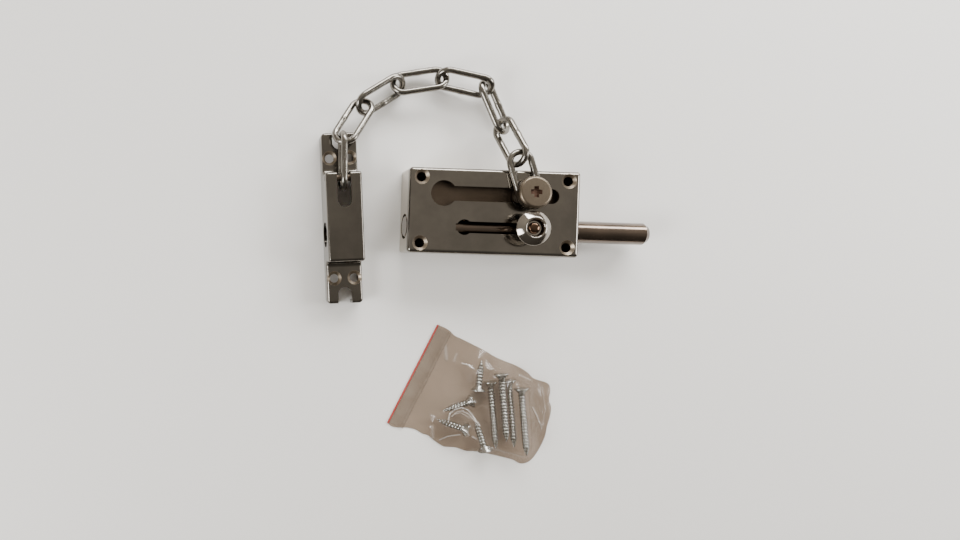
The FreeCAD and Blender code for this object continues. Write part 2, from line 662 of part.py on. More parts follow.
def keeper_shell(placement):
    body = new_body("keeper_shell")
    half_width, half_box, half_length = "keeper_width / 2", "box_length / 2", "keeper_length / 2"
    ears = new_sketch(body, "XY_Plane")
    add_box(ears, f"-{half_width}", half_width, f"-{half_length}", half_length)
    pad(body, ears, "ear_height")
    soften(body, "Fillet", "1.5 * keeper_round", upright)
    box = new_sketch(body, "XY_Plane")
    add_box(box, f"-{half_width}", half_width, f"-{half_box}", half_box)
    pad(body, box, "keeper_depth")
    ear, depth, end = size("ear_height"), size("keeper_depth"), size(half_box)

    def at_end(edge):
        return near(abs(edge.BoundBox.YMin), end) and edge.BoundBox.YLength < 1e-4

    soften(body, "Fillet", "keeper_bend", lambda e: level_at(e, ear) and at_end(e))
    soften(body, "Fillet", "keeper_round + 0.3", lambda e: level_at(e, depth) and at_end(e))
    soften(body, "Fillet", "keeper_round", lambda e: level_at(e, depth) and e.BoundBox.YLength > 1)
    hollow = new_sketch(body, "XY_Plane")
    add_box(hollow, f"-{half_width} + keeper_wall", f"{half_width} - keeper_wall",
            f"-{half_length} + keeper_wall", f"{half_length} - keeper_wall")
    pocket(body, hollow, "ear_height - ear_sheet", up=True)
    deep = new_sketch(body, "XY_Plane")
    add_box(deep, f"-{half_width} + keeper_wall", f"{half_width} - keeper_wall",
            f"-{half_box} + keeper_wall", f"{half_box} - keeper_wall")
    pocket(body, deep, "keeper_depth - keeper_wall", up=True)

    slot = new_sketch(body, "XY_Plane", "keeper_depth")
    add_box(slot, "-keeper_slot / 2", "keeper_slot / 2", "keeper_slot_end", f"{half_box} + keeper_bend + 1")
    pocket(body, slot, "keeper_depth - ear_height")
    slot_end = new_sketch(body, "XY_Plane", "keeper_depth")
    add_circle(slot_end, "0", "keeper_slot_end", "keeper_slot")
    pocket(body, slot_end, "2 * keeper_wall")
    strike = new_sketch(body, "YZ_Plane")
    add_circle(strike, "-strike_place", "bolt_height", END_HOLE)
    pocket(body, strike, "keeper_width + 2", midplane=True)
    pin_seat = new_sketch(body, "YZ_Plane")
    add_circle(pin_seat, PIN_Y, "pin_height", "pin_diameter + 2 * pin_fit")
    pocket(body, pin_seat, "keeper_width + 2", midplane=True)

    holes = new_sketch(body, "XY_Plane", "ear_height")
    four_holes(holes, "keeper_hole", "ear_hole_spread", "ear_hole_pitch")
    pocket(body, holes, "2 * ear_sheet")
    hole = size("keeper_hole")
    soften(body, "Chamfer", "keeper_bevel", lambda e: is_circle(e, hole, ear))
    for side, low, high in (("", "0", "notch_depth"), ("-", "-notch_depth", "0")):
        notch = new_sketch(body, "XY_Plane", "ear_height")
        edge = f"{side}{half_length}"
        round_y = f"{side}({half_length} - notch_depth + notch_opening / 2)"
        limits = (round_y, f"{edge} + 1") if side == "" else (f"{edge} - 1", round_y)
        add_box(notch, "-notch_opening / 2", "notch_opening / 2", *limits)
        pocket(body, notch, "ear_height")
        notch_round = new_sketch(body, "XY_Plane", "ear_height")
        add_circle(notch_round, "0", round_y, "notch_opening")
        pocket(body, notch_round, "ear_height")
    body.Placement = placement


def keeper_pin(placement):
    """The cross pin that holds the chain's last link."""
    body = new_body("keeper_pin")
    section = new_sketch(body, "YZ_Plane")
    add_circle(section, PIN_Y, "pin_height", "pin_diameter")
    pad(body, section, "keeper_width", midplane=True)
    body.Placement = placement


# ---- wood screws in their bag ---------------------------------------------------------------------

def screw_form(name, length):
    """One countersunk wood screw, head up at z = 0 and pointing down. It is copied to make each set."""
    body = doc.addObject("PartDesign::Body", name)
    body.Label = name
    cone = "(screw_head / 2 - screw_shank / 2)"
    profile = new_sketch(body, "XZ_Plane")
    add_outline(profile, [
        ("0", "0"),
        ("screw_head / 2", "0"),
        ("screw_head / 2", "-head_rim"),
        ("screw_shank / 2", f"-head_rim - {cone}"),
        ("screw_shank / 2", f"-{length} + point_length"),
        ("0", f"-{length}"),
    ])
    revolve(body, profile)
    add_cross(body, "0", "screw_cross", "screw_cross_arm", "screw_cross_depth")
    return body


def screw_set(name, form, places):
    """Copies of a screw, each at (x, y, z, heading) in the bag's frame: x, y, z is its head's middle."""
    bag = bag_placement()
    copies = []
    for x, y, z, heading in places:
        lie = Rotation(Vector(0, 0, 1), heading) * Rotation(Vector(0, 1, 0), -90)
        copies.append(form.Shape.transformed((bag * Placement(Vector(x, y, z), lie)).toMatrix()))
    group = doc.addObject("Part::Feature", name)
    group.Shape = Part.makeCompound(copies)
    sub_part(group, name)


def bundle_step():
    """How much higher every other long screw lies than its neighbours, so that its head clears them."""
    return size("(screw_head - screw_shank) / 2 + bundle_rise")


def bag_placement():
    turn = Rotation(Vector(0, 0, 1), size("bag_turn"))
    return Placement(Vector(size("bag_mouth_x"), size("bag_mouth_y"), 0), turn)


def bag_points(shares, height, inset=0.0):
    """An outline of the bag at a height, drawn in by inset towards the middle of its points."""
    length, half = size("bag_length"), size("bag_width") / 2
    spots = [Vector(u * length, v * half, height) for u, v in shares]
    middle = Vector()
    for spot in spots:
        middle += spot * (1 / len(spots))
    drawn = []
    for spot in spots:
        inward = middle - spot
        inward.z = 0
        drawn.append(spot + inward * (inset / inward.Length))
    return drawn


def closed_wire(points):
    return Part.makePolygon(points + points[:1])


def bag_back():
    """The film that lies on the table, from the mouth to the closed end."""
    mouth = [(0.0, 1.0), (0.0, -1.0)]
    sheet_face = Part.Face(closed_wire(bag_points(mouth + BAG_RIM, 0.0)))
    film = doc.addObject("Part::Feature", "bag_back")
    film.Shape = sheet_face.extrude(Vector(0, 0, size("bag_film")))
    film.Placement = bag_placement()
    sub_part(film, "bag_back")


def bag_front():
    """The film over the screws: a hollow tent that meets the back film all round."""
    film = size("bag_film")
    height = size("2 * bag_film + screw_head + screw_rest + bag_slack") + bundle_step()
    outside = Part.makeLoft(
        [closed_wire(bag_points(BAG_RIM, film)), closed_wire(bag_points(BAG_TOP, height))], True, True)
    inside = Part.makeLoft(
        [closed_wire(bag_points(BAG_RIM, film, 2 * film)),
         closed_wire(bag_points(BAG_TOP, height - film, 2 * film))], True, True)
    tent = doc.addObject("Part::Feature", "bag_front")
    tent.Shape = outside.cut(inside)
    tent.Placement = bag_placement()
    sub_part(tent, "bag_front")


def bag_seal():
    """The grip seal: a band across the mouth with two ribs."""
    body = new_body("bag_seal")
    section = new_sketch(body, "XZ_Plane")
    flat, top = "bag_film + seal_sheet", "bag_film + seal_height"
    near_mouth = "stripe_width + seal_gap"
    outline = [(near_mouth, "bag_film"), ("seal_width", "bag_film"), ("seal_width", flat)]
    for rib_end in ("seal_width - 1.4", "seal_width - 3.6"):
        outline += [
            (rib_end, flat),
            (f"{rib_end} - rib_slope", top),
            (f"{rib_end} - rib_width + rib_slope", top),
            (f"{rib_end} - rib_width", flat),
        ]
    add_outline(section, outline + [(near_mouth, flat)])
    pad(body, section, "0.95 * bag_width", midplane=True)
    body.Placement = bag_placement()


def bag_stripe():
    """The coloured lip along the mouth."""
    body = new_body("bag_stripe")
    section = new_sketch(body, "XZ_Plane")
    add_box(section, "0", "stripe_width", "bag_film", "bag_film + lip_height")
    pad(body, section, "bag_width - 2 * lip_short", midplane=True)
    body.Placement = bag_placement()


def bagged_screws():
    """Four long screws side by side, every other one resting higher, and four short ones beside them."""
    low = size("bag_film + screw_head / 2 + screw_rest")
    pitch, stagger = size("(screw_head + screw_shank) / 2 - bundle_tuck"), size("bundle_stagger")
    heading = math.radians(BUNDLE_HEADING)
    along = Vector(math.cos(heading), math.sin(heading), 0)
    beside = Vector(-along.y, along.x, 0)
    first = Vector(*BUNDLE_EDGE, low) + beside * size("screw_head / 2")
    long_places = []
    for number, (raised, shift) in enumerate([(0, 0), (1, -1), (0, 0), (1, 1)]):
        head = first + beside * (number * pitch) + along * (shift * stagger)
        head.z += raised * bundle_step()
        long_places.append((*head, BUNDLE_HEADING))
    screw_set("case_screws", screw_form("long_screw_form", "long_screw"), long_places)
    short_places = [(x, y, low, heading) for x, y, heading in SHORT_SCREWS]
    screw_set("keeper_screws", screw_form("short_screw_form", "short_screw"), short_places)


# ---- the whole set --------------------------------------------------------------------------------

case_shell()
back_plate()
screw_pillars()
chain_track()
track_posts()
back_screw("", "back_screw_right")
back_screw("-", "back_screw_left")
guide_block("", "guide_block_right")
guide_block("-", "guide_block_left")
bolt_spring()
bolt_rod()
bolt_knob()
knob_screw()
button_screw()
button_foot()
chain, chain_end = laid_links()
for number, link in enumerate(chain, start=1):
    chain_link(number, *link)
keeper_place = keeper_placement(chain_end)
keeper_shell(keeper_place)
keeper_pin(keeper_place)
bag_back()
bag_front()
bag_seal()
bag_stripe()
bagged_screws()

doc.recompute()
failed = [o.Label for o in doc.Objects if {"Invalid", "Error"} & set(o.State)]
if failed:
    raise ValueError(f"these objects failed: {failed}")
for thing in SUB_PARTS:
    if thing.Shape.isNull() or not thing.Shape.isValid():
        raise ValueError(f"{thing.Label} has no valid shape")

os.makedirs("parts", exist_ok=True)
for thing in SUB_PARTS:
    thing.Shape.exportStep(os.path.join("parts", thing.Label + ".step"))

# the places and directions that the joints turn about, in millimetres
for number, (middle, way, across) in enumerate(chain, start=1):
    far_bar = middle + way * size("(link_length - wire) / 2")
    print(f"link {number} far bar at {rounded(far_bar, 3)} along {rounded(across, 5)}")
button = button_placement()
neck = button.multVec(Vector(0, 0, size("link_lift")))
print(f"neck at {rounded(neck, 3)} along {rounded(button.Rotation.multVec(Vector(0, 0, 1)), 5)}")
pin_way = keeper_place.Rotation.multVec(Vector(1, 0, 0))
print(f"keeper pin at {rounded(chain_end, 3)} along {rounded(pin_way, 5)}")
print(f"keeper middle at {rounded(keeper_place.Base, 3)}")
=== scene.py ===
# The looks of a door chain guard: chromed case and keeper, sliding bolt with its knob, welded chain with its
# button, and the grip-seal bag of wood screws, on a pale table under soft light.
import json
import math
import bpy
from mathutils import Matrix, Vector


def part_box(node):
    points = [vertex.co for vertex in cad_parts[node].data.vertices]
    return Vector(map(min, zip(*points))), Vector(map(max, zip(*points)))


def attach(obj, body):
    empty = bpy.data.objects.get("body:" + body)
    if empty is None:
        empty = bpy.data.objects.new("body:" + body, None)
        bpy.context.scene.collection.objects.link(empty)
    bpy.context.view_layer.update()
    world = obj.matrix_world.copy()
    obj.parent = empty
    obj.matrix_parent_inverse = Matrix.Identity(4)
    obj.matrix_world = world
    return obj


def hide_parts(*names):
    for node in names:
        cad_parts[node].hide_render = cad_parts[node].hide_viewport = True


bl_info = {
    "name": "Door chain guard",
    "version": (1, 0, 0),
    "blender": (4, 5, 0),
    "location": "View3D > Sidebar > Door chain guard",
    "description": "Finishes the packed door chain guard and lights it on a table",
    "category": "Object",
}

import bmesh
import bpy
import numpy as np
from mathutils import Matrix, Vector, noise

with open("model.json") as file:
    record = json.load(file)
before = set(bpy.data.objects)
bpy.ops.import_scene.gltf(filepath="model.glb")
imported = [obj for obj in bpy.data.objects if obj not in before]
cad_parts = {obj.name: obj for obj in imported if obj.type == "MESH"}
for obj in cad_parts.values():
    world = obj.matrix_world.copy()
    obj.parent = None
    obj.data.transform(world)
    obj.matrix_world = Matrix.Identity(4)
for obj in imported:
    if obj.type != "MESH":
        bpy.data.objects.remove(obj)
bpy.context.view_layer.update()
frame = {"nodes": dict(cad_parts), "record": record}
NODES = frame["nodes"]
MM = 0.001
LINKS = sorted(name for name in NODES if name.startswith("chain_link_"))


# ---- sizes and colours that a user would change ----

def length(name, text, mm):
    """A size in the sidebar, kept in metres and given in millimetres."""
    return bpy.props.FloatProperty(name=name, description=text, default=mm * MM, unit="LENGTH", precision=5)


def tint(name, text, code):
    """A colour in the sidebar, given as an sRGB hex value."""
    return bpy.props.FloatVectorProperty(
        name=name, description=text, default=to_linear(code)[:3], subtype="COLOR", size=3, min=0, max=1)


def share(name, text, value):
    return bpy.props.FloatProperty(name=name, description=text, default=value, min=0, max=1)


def to_linear(code):
    """An sRGB hex value such as "8a7f70" as linear red, green, blue and a full alpha."""
    parts = [int(code[i:i + 2], 16) / 255 for i in (0, 2, 4)]
    return (*[c / 12.92 if c <= 0.04045 else ((c + 0.055) / 1.055) ** 2.4 for c in parts], 1.0)


class GuardFinishes(bpy.types.PropertyGroup):
    chrome: tint("Chrome plate", "Polished chrome on the case, the keeper and the knob", "837e77")
    dull_chrome: tint("Dull chrome", "The thin chrome inside the pressings", "6e5f52")
    # painted reflection: a brighter chrome colour for the case's walls, standing in for the light they mirror
    painted_wall_reflection: tint("Clean chrome", "Unhandled chrome on the case's walls", "bdb7ad")
    # painted highlight: a lighter colour for the rings round the screw holes
    countersink_highlight: tint("Countersink", "Bright cut rings round the screw holes", "9a8e7e")
    nickel: tint("Bolt nickel", "Thin nickel over the drawn bolt", "6b5b4d")
    satin: tint("Satin nickel", "Turned and satin plated button", "74695b")
    dome: tint("Domed head", "Polished brown head of the knob's screw", "5d4a3c")
    # painted shade: the dark brown of the button's cross recess
    recess: tint("Recess grime", "Oil and dust held in driver recesses", "5e4436")
    chain: tint("Chain plate", "Bright nickel on the welded wire", "85817a")
    steel: tint("Inner steel", "Plain pressed sheet inside the case", "6a5e52")
    spring: tint("Spring steel", "Blued spring strip", "53535b")
    zinc: tint("Zinc plate", "Clear zinc on the wood screws", "a5a6a2")
    # painted shade: the dark colour low in the wood screws' threads
    groove: tint("Thread groove", "Oil and shade low in the wood screws' threads", "2b2a26")
    film: tint("Bag film", "Milky polythene of the bag's back", "8e7c6b")
    clear_film: tint("Clear film", "Polythene over the screws", "a99a8a")
    stripe: tint("Bag stripe", "Dyed lip of the bag's mouth", "b5403c")
    table: tint("Table", "Pale table top", "f4f2ee")
    film_cover: share("Film cover", "How much of what lies under it the clear film hides", 0.09)


class GuardSizes(bpy.types.PropertyGroup):
    wire: length("Chain wire", "Diameter of the chain's wire", 3.0)
    link_length: length("Link length", "Outer length of a link", 28.6)
    link_width: length("Link width", "Outer width of a link", 13.0)
    weld_swell: length("Weld swell", "How far a link's weld stands proud of its wire", 0.16)
    # the real thread has about 1.2 mm between its turns, which is too fine to show, so it is drawn coarser
    thread_pitch: length("Thread pitch", "Distance between the turns of a wood screw's thread", 1.5)
    thread_depth: length("Thread depth", "Depth of a wood screw's thread", 0.5)
    crinkle: length("Film crinkle", "Height of the creases in the bag's film", 0.38)


class GuardStage(bpy.types.PropertyGroup):
    eye: bpy.props.FloatVectorProperty(
        name="Camera place", description="Where the camera stands", default=(-0.1195, -0.0291, 0.3399),
        subtype="TRANSLATION", size=3, precision=4)
    turn: bpy.props.FloatVectorProperty(
        name="Camera turn", description="The camera's turn from looking straight down",
        default=tuple(math.radians(a) for a in (-0.33, -0.28, 1.88)), subtype="EULER", size=3)
    focal: bpy.props.FloatProperty(
        name="Focal length", description="In millimetres on a 36 mm sensor", default=26.0)
    shift: bpy.props.FloatProperty(name="Shift", description="Sideways shift of the view", default=0.25)
    overhead: tint("Ceiling", "What level metal mirrors", "bab3a8")
    horizon: tint("Walls", "What upright metal mirrors", "8a8278")
    near_dark: share("Near side", "Strength of the room's light from the near side", 0.35)
    floor_light: bpy.props.FloatProperty(
        name="Lamp power", description="Power of each side lamp", default=4.0, unit="POWER")


def finishes():
    return bpy.context.scene.guard_finishes


def sizes():
    return bpy.context.scene.guard_sizes


def stage_settings():
    return bpy.context.scene.guard_stage


# ---- helpers for meshes ----

def mesh_object(name, vertices, faces):
    """A mesh object in the scene from points in metres."""
    mesh = bpy.data.meshes.new(name)
    mesh.from_pydata([tuple(v) for v in vertices], [], [tuple(f) for f in faces])
    made = bpy.data.objects.new(name, mesh)
    bpy.context.scene.collection.objects.link(made)
    return made


def new_piece(name, vertices, faces, material, smooth_angle):
    """A mesh object with a material, shaded smooth except over edges sharper than the angle."""
    piece = mesh_object(name, vertices, faces)
    piece.data.validate()
    tidy_normals(piece, smooth_angle)
    piece.data.materials.append(material_named(material))
    return piece


def tidy_normals(piece, smooth_angle):
    """Turns all faces outwards and marks the sharp edges."""
    mesh = piece.data
    work = bmesh.new()
    work.from_mesh(mesh)
    bmesh.ops.recalc_face_normals(work, faces=work.faces)
    limit = math.radians(smooth_angle)
    for edge in work.edges:
        edge.smooth = len(edge.link_faces) != 2 or edge.calc_face_angle() < limit
    for face in work.faces:
        face.smooth = True
    work.to_mesh(mesh)
    work.free()


def grid_faces(rows, columns, wrap_rows=False, wrap_columns=False):
    """Quads between the points of a grid stored row by row."""
    faces = []
    for i in range(rows if wrap_rows else rows - 1):
        for j in range(columns if wrap_columns else columns - 1):
            a, b = i * columns, (i + 1) % rows * columns
            k = (j + 1) % columns
            faces.append((a + j, a + k, b + k, b + j))
    return faces


def tube_faces(rows, around):
    """The faces of a closed solid whose points lie in rows round it, with its two ends."""
    last = (rows - 1) * around
    ends = [tuple(range(around)), tuple(range(last + around - 1, last - 1, -1))]
    return grid_faces(rows, around, False, True) + ends


def rounded(points, steps=8):
    """A profile through the points with each corner that has a radius drawn as an arc.

    A point is (radius from the axis, height, corner radius), in millimetres.
    """
    line = []
    for n, (x, y, bend) in enumerate(points):
        here = Vector((x, y))
        if bend == 0 or n in (0, len(points) - 1):
            line.append(here)
            continue
        before, after = (Vector(points[n + k][:2]) - here for k in (-1, 1))
        reach = min(bend, 0.5 * before.length, 0.5 * after.length)
        start, end = here + before.normalized() * reach, here + after.normalized() * reach
        for k in range(steps + 1):
            t = k / steps
            line.append(start * (1 - t) ** 2 + here * (2 * t * (1 - t)) + end * t ** 2)
    return line


def turned(profile, around):
    """A closed solid of revolution about Z from a profile in millimetres, closed on the axis or on a bore."""
    vertices, faces = [], []
    count = len(profile)
    for j in range(around):
        a = 2 * math.pi * j / around
        vertices += [Vector((p.x * math.cos(a), p.x * math.sin(a), p.y)) * MM for p in profile]
    for j in range(around):
        k = (j + 1) % around
        for i in range(count):
            following = (i + 1) % count
            faces.append((j * count + i, k * count + i, k * count + following, j * count + following))
    return vertices, faces


def weld_points(piece, reach_mm=0.0005):
    """Joins points that lie on each other, such as those of a turned profile on its axis."""
    work = bmesh.new()
    work.from_mesh(piece.data)
    bmesh.ops.remove_doubles(work, verts=work.verts, dist=reach_mm * MM)
    bmesh.ops.dissolve_degenerate(work, edges=work.edges, dist=reach_mm * MM)
    work.to_mesh(piece.data)
    work.free()


def cut_cross(piece, span, arm, depth, top, taper):
    """Cuts a tapered cross for a driver's recess, in millimetres, from the top down, into a turned piece."""
    weld_points(piece)
    a, b = span / 2, arm / 2
    outline = [(a, -b), (a, b), (b, b), (b, a), (-b, a), (-b, b),
               (-a, b), (-a, -b), (-b, -b), (-b, -a), (b, -a), (b, -b)]
    clear_of_head = 0.5
    high, low = top + clear_of_head, top - depth
    vertices = [Vector((x, y, high)) * MM for x, y in outline]
    vertices += [Vector((x * (1 - taper), y * (1 - taper), low)) * MM for x, y in outline]
    count = len(outline)
    faces = [tuple(range(count)), tuple(range(2 * count - 1, count - 1, -1))]
    faces += [(n, (n + 1) % count, (n + 1) % count + count, n + count) for n in range(count)]
    cutter = mesh_object("cross_cutter", vertices, faces)
    tidy_normals(cutter, 30)
    modifier = piece.modifiers.new("cut", "BOOLEAN")
    modifier.operation, modifier.solver, modifier.object = "DIFFERENCE", "EXACT", cutter
    shape = piece.evaluated_get(bpy.context.evaluated_depsgraph_get())
    mesh = bpy.data.meshes.new_from_object(shape)
    piece.modifiers.clear()
    piece.data = mesh
    bpy.data.objects.remove(cutter)
    tidy_normals(piece, 40)


def place_on(piece, foot, way):
    """Stands a piece that was made along Z on a point, along a direction."""
    turn = way.to_track_quat("Z", "Y").to_matrix().to_4x4()
    piece.data.transform(Matrix.Translation(foot) @ turn)


def store(piece, name, values):
    """Keeps a value at each point of a piece for its material."""
    kept = piece.data.attributes.new(name, "FLOAT", "POINT")
    kept.data.foreach_set("value", values.astype(np.float32))


def node_points(name):
    return np.array([v.co for v in NODES[name].data.vertices], float)


def islands(name):
    """The separate solids of a node, each as an array of its points."""
    work = bmesh.new()
    work.from_mesh(NODES[name].data)
    bmesh.ops.remove_doubles(work, verts=work.verts, dist=0.001 * MM)
    groups, seen = [], set()
    for vertex in work.verts:
        if vertex.index in seen:
            continue
        stack, group = [vertex], []
        seen.add(vertex.index)
        while stack:
            here = stack.pop()
            group.append(tuple(here.co))
            for edge in here.link_edges:
                other = edge.other_vert(here)
                if other.index not in seen:
                    seen.add(other.index)
                    stack.append(other)
        groups.append(np.array(group))
    work.free()
    return groups


def surface_axes(name):
    """The middle of a node's surface and its longest and second longest directions."""
    mesh = NODES[name].data
    centres = np.array([p.center for p in mesh.polygons])
    areas = np.array([p.area for p in mesh.polygons])
    middle = (centres * areas[:, None]).sum(0) / areas.sum()
    spread = (centres - middle).T @ ((centres - middle) * areas[:, None])
    values, directions = np.linalg.eigh(spread)
    longest, second, _ = np.argsort(-values)
    return Vector(middle), Vector(directions[:, longest]), Vector(directions[:, second])


def lengthwise(points):
    """A screw's direction from head to tip, and each point's place along it, from points about its middle."""
    way = np.linalg.svd(points, full_matrices=False)[2][0]
    along = points @ way
    radii = np.linalg.norm(points - np.outer(along, way), axis=1)
    return (-way, -along) if along[radii.argmax()] > 0 else (way, along)


def stand_in(piece, body, *nodes):
    """Lets the piece move with a body and stand for its CAD nodes."""
    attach(piece, body)
    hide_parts(*nodes)
    return piece


def seat(name):
    """The middle of a node's foot in metres, its height and its largest radius in millimetres."""
    low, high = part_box(name)
    return (Vector(((low.x + high.x) / 2, (low.y + high.y) / 2, low.z)), (high.z - low.z) / MM,
            (high.x - low.x) / 2 / MM)


# ---- helpers for materials ----

METAL = {"Metallic": 1.0}
POLYTHENE_IOR = 1.51
EVEN = (1, 1, 1)


def add(tree, kind, values=(), links=(), **settings):
    """Adds a node with its settings, socket values and incoming links."""
    made = tree.nodes.new(kind)
    for name, value in settings.items():
        setattr(made, name, value)
    for socket, value in dict(values).items():
        made.inputs[socket].default_value = value
    for socket, source in dict(links).items():
        tree.links.new(source, made.inputs[socket])
    return made


def new_material(name):
    """An empty material, its node tree, and the place on the object in metres."""
    material = bpy.data.materials.new(name)
    material.use_nodes = True
    tree = material.node_tree
    tree.nodes.clear()
    return material, tree, add(tree, "ShaderNodeTexCoord").outputs["Object"]


def shade(colour, factor):
    """A linear colour made darker or brighter, with a full alpha."""
    return (*[c * factor for c in colour[:3]], 1.0)


def tones(finish, *factors):
    """Shades of one of the listed colours."""
    return [shade(getattr(finishes(), finish), factor) for factor in factors]


def mottled(name, shades, patches, grain, gloss, relief, values, span=(0, 1), patchy_gloss=False):
    """A finish that drifts between two shades in patches, with a grain that sets its gloss and relief.

    patches and grain are noises, each (size in mm, detail, harshness, stretch). gloss is the two values of
    the grain, or of the patches, between which the roughness goes from one number to another, and those
    numbers. relief is the grain's depth in mm and strength. span is the part of the patches' values over
    which the shade changes.
    """
    material, tree, place = new_material(name)
    fields = []
    for size_mm, detail, harshness, stretch in (patches, grain):
        spot = add(tree, "ShaderNodeMapping", {"Scale": stretch}, {"Vector": place})
        cloud = add(tree, "ShaderNodeTexNoise",
                    {"Scale": 1 / (size_mm * MM), "Detail": detail, "Roughness": harshness},
                    {"Vector": spot.outputs["Vector"]})
        fields.append(cloud.outputs["Fac"])
    drift = add(tree, "ShaderNodeMapRange", {"From Min": span[0], "From Max": span[1]}, {"Value": fields[0]})
    colour = add(tree, "ShaderNodeMix", {6: shades[0], 7: shades[1]}, {0: drift.outputs["Result"]},
                 data_type="RGBA")
    low, high, start, end = gloss
    rough = add(tree, "ShaderNodeMapRange",
                {"From Min": low, "From Max": high, "To Min": start, "To Max": end},
                {"Value": fields[0 if patchy_gloss else 1]})
    links = {"Base Color": colour.outputs[2], "Roughness": rough.outputs["Result"]}
    if relief:
        normal = add(tree, "ShaderNodeBump", {"Distance": relief[0] * MM, "Strength": relief[1]},
                     {"Height": fields[1]})
        links["Normal"] = normal.outputs["Normal"]
    shader = add(tree, "ShaderNodeBsdfPrincipled", values, links)
    add(tree, "ShaderNodeOutputMaterial", links={"Surface": shader.outputs["BSDF"]})
    return material, tree, shader, colour.outputs[2], fields[0]


# ---- materials ----

def mount_named(name):
    return next(mount for mount in frame["record"]["mounts"] if mount["name"] == name)


def chrome_on_pressing(name, origin, turn, hole_spot, ring, hollows, tone, wall_reflection_below):
    """Chrome over pressed steel: mirror-like, with the press's faint waves and the haze that fingers leave.

    The countersinks' rings get a lighter colour, a painted highlight, and a rougher gloss. The plate is thin
    and dull inside the hollows, which are boxes of (half length, half width, height) in millimetres. The
    walls below the given height get a brighter chrome colour, a painted reflection of the light they mirror.
    """
    material, tree, place = new_material(name)
    own = add(tree, "ShaderNodeMapping", {"Location": origin, "Rotation": (0, 0, turn)}, {"Vector": place},
              vector_type="TEXTURE")
    mirrored = add(tree, "ShaderNodeVectorMath", links={0: own.outputs["Vector"]}, operation="ABSOLUTE")
    x, y, z = add(tree, "ShaderNodeSeparateXYZ", links={0: mirrored.outputs["Vector"]}).outputs
    off_x, off_y = (
        add(tree, "ShaderNodeMath", {1: spot}, {0: axis}, operation="SUBTRACT").outputs["Value"]
        for axis, spot in zip((x, y), hole_spot))
    from_hole = add(tree, "ShaderNodeCombineXYZ", links={0: off_x, 1: off_y})
    reach = add(tree, "ShaderNodeVectorMath", links={0: from_hole.outputs["Vector"]}, operation="LENGTH")

    # each share is 1 below an edge and 0 above it: (what is measured, the edge in mm, its blur in mm)
    edges = [(reach.outputs["Value"], ring, 0.05), (z, wall_reflection_below, 0.2)]
    for hollow in hollows:
        edges += [(axis, edge, 0.05) for axis, edge in zip((x, y, z), hollow)]
    ring_highlight, wall_reflection, *sides = (
        add(tree, "ShaderNodeMapRange",
            {"From Min": (edge - blur) * MM, "From Max": (edge + blur) * MM, "To Min": 1, "To Max": 0},
            {"Value": source}).outputs["Result"]
        for source, edge, blur in edges)
    inside = None
    for side in range(0, len(sides), 3):
        box = sides[side]
        for other in sides[side + 1:side + 3]:
            box = add(tree, "ShaderNodeMath", links={0: box, 1: other}, operation="MULTIPLY").outputs["Value"]
        if inside is not None:
            box = add(tree, "ShaderNodeMath", links={0: inside, 1: box}, operation="MAXIMUM").outputs["Value"]
        inside = box

    fields = []
    for size_mm, detail, harshness, stretch in (
        (14, 5, 0.6, EVEN), (7, 4, 0.65, (1, 0.3, 1)), (9, 2, 0.5, EVEN), (0.35, 2, 0.5, EVEN),
    ):
        spot = add(tree, "ShaderNodeMapping", {"Scale": stretch}, {"Vector": place})
        cloud = add(tree, "ShaderNodeTexNoise",
                    {"Scale": 1 / (size_mm * MM), "Detail": detail, "Roughness": harshness},
                    {"Vector": spot.outputs["Vector"]})
        fields.append(cloud.outputs["Fac"])
    haze, smears, waves, specks = fields
    drift = add(tree, "ShaderNodeMapRange", {"From Min": 0.35, "From Max": 0.7}, {"Value": haze})
    dark, bright = tones("chrome", 0.84 * tone, 1.06 * tone)
    colour = add(tree, "ShaderNodeMix", {6: dark, 7: bright}, {0: drift.outputs["Result"]},
                 data_type="RGBA").outputs[2]
    # the walls get a painted reflection and the countersinks' rings a painted highlight; the hollows get
    # their thin dull plate
    for where, finish in ((wall_reflection, "painted_wall_reflection"), (ring_highlight, "countersink_highlight"), (inside, "dull_chrome")):
        colour = add(tree, "ShaderNodeMix", {7: tones(finish, 1)[0]}, {0: where, 6: colour},
                     data_type="RGBA").outputs[2]
    rough = add(tree, "ShaderNodeMapRange",
                {"From Min": 0.35, "From Max": 0.75, "To Min": 0.09, "To Max": 0.2},
                {"Value": smears}).outputs["Result"]
    for where, dullness in ((ring_highlight, 0.4), (inside, 0.45)):
        dulled = add(tree, "ShaderNodeMath", {1: dullness}, {0: where}, operation="MULTIPLY")
        rough = add(tree, "ShaderNodeMath", links={0: rough, 1: dulled.outputs["Value"]},
                    operation="MAXIMUM").outputs["Value"]
    wavy = add(tree, "ShaderNodeBump", {"Distance": 0.05 * MM, "Strength": 0.6}, {"Height": waves})
    speckled = add(tree, "ShaderNodeBump", {"Distance": 0.004 * MM, "Strength": 0.35},
                   {"Height": specks, "Normal": wavy.outputs["Normal"]})
    shader = add(tree, "ShaderNodeBsdfPrincipled", METAL,
                 {"Base Color": colour, "Roughness": rough, "Normal": speckled.outputs["Normal"]})
    add(tree, "ShaderNodeOutputMaterial", links={"Surface": shader.outputs["BSDF"]})
    return material


def case_chrome():
    """The case's chrome, four countersinks near its corners with painted highlights, walls with a painted
    reflection.
    """
    dims = mount_named("case_screw_holes")["dims"]
    half_x, half_y, tall = (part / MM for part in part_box("case_shell")[1])
    wall = 1.55
    return chrome_on_pressing(
        "case_chrome", (0, 0, 0), 0.0, (dims["spacing_x_mm"] / 2 * MM, dims["spacing_y_mm"] / 2 * MM), 3.55,
        [(half_x - wall, half_y - wall, tall - wall)], 1.0, tall - 3.5)


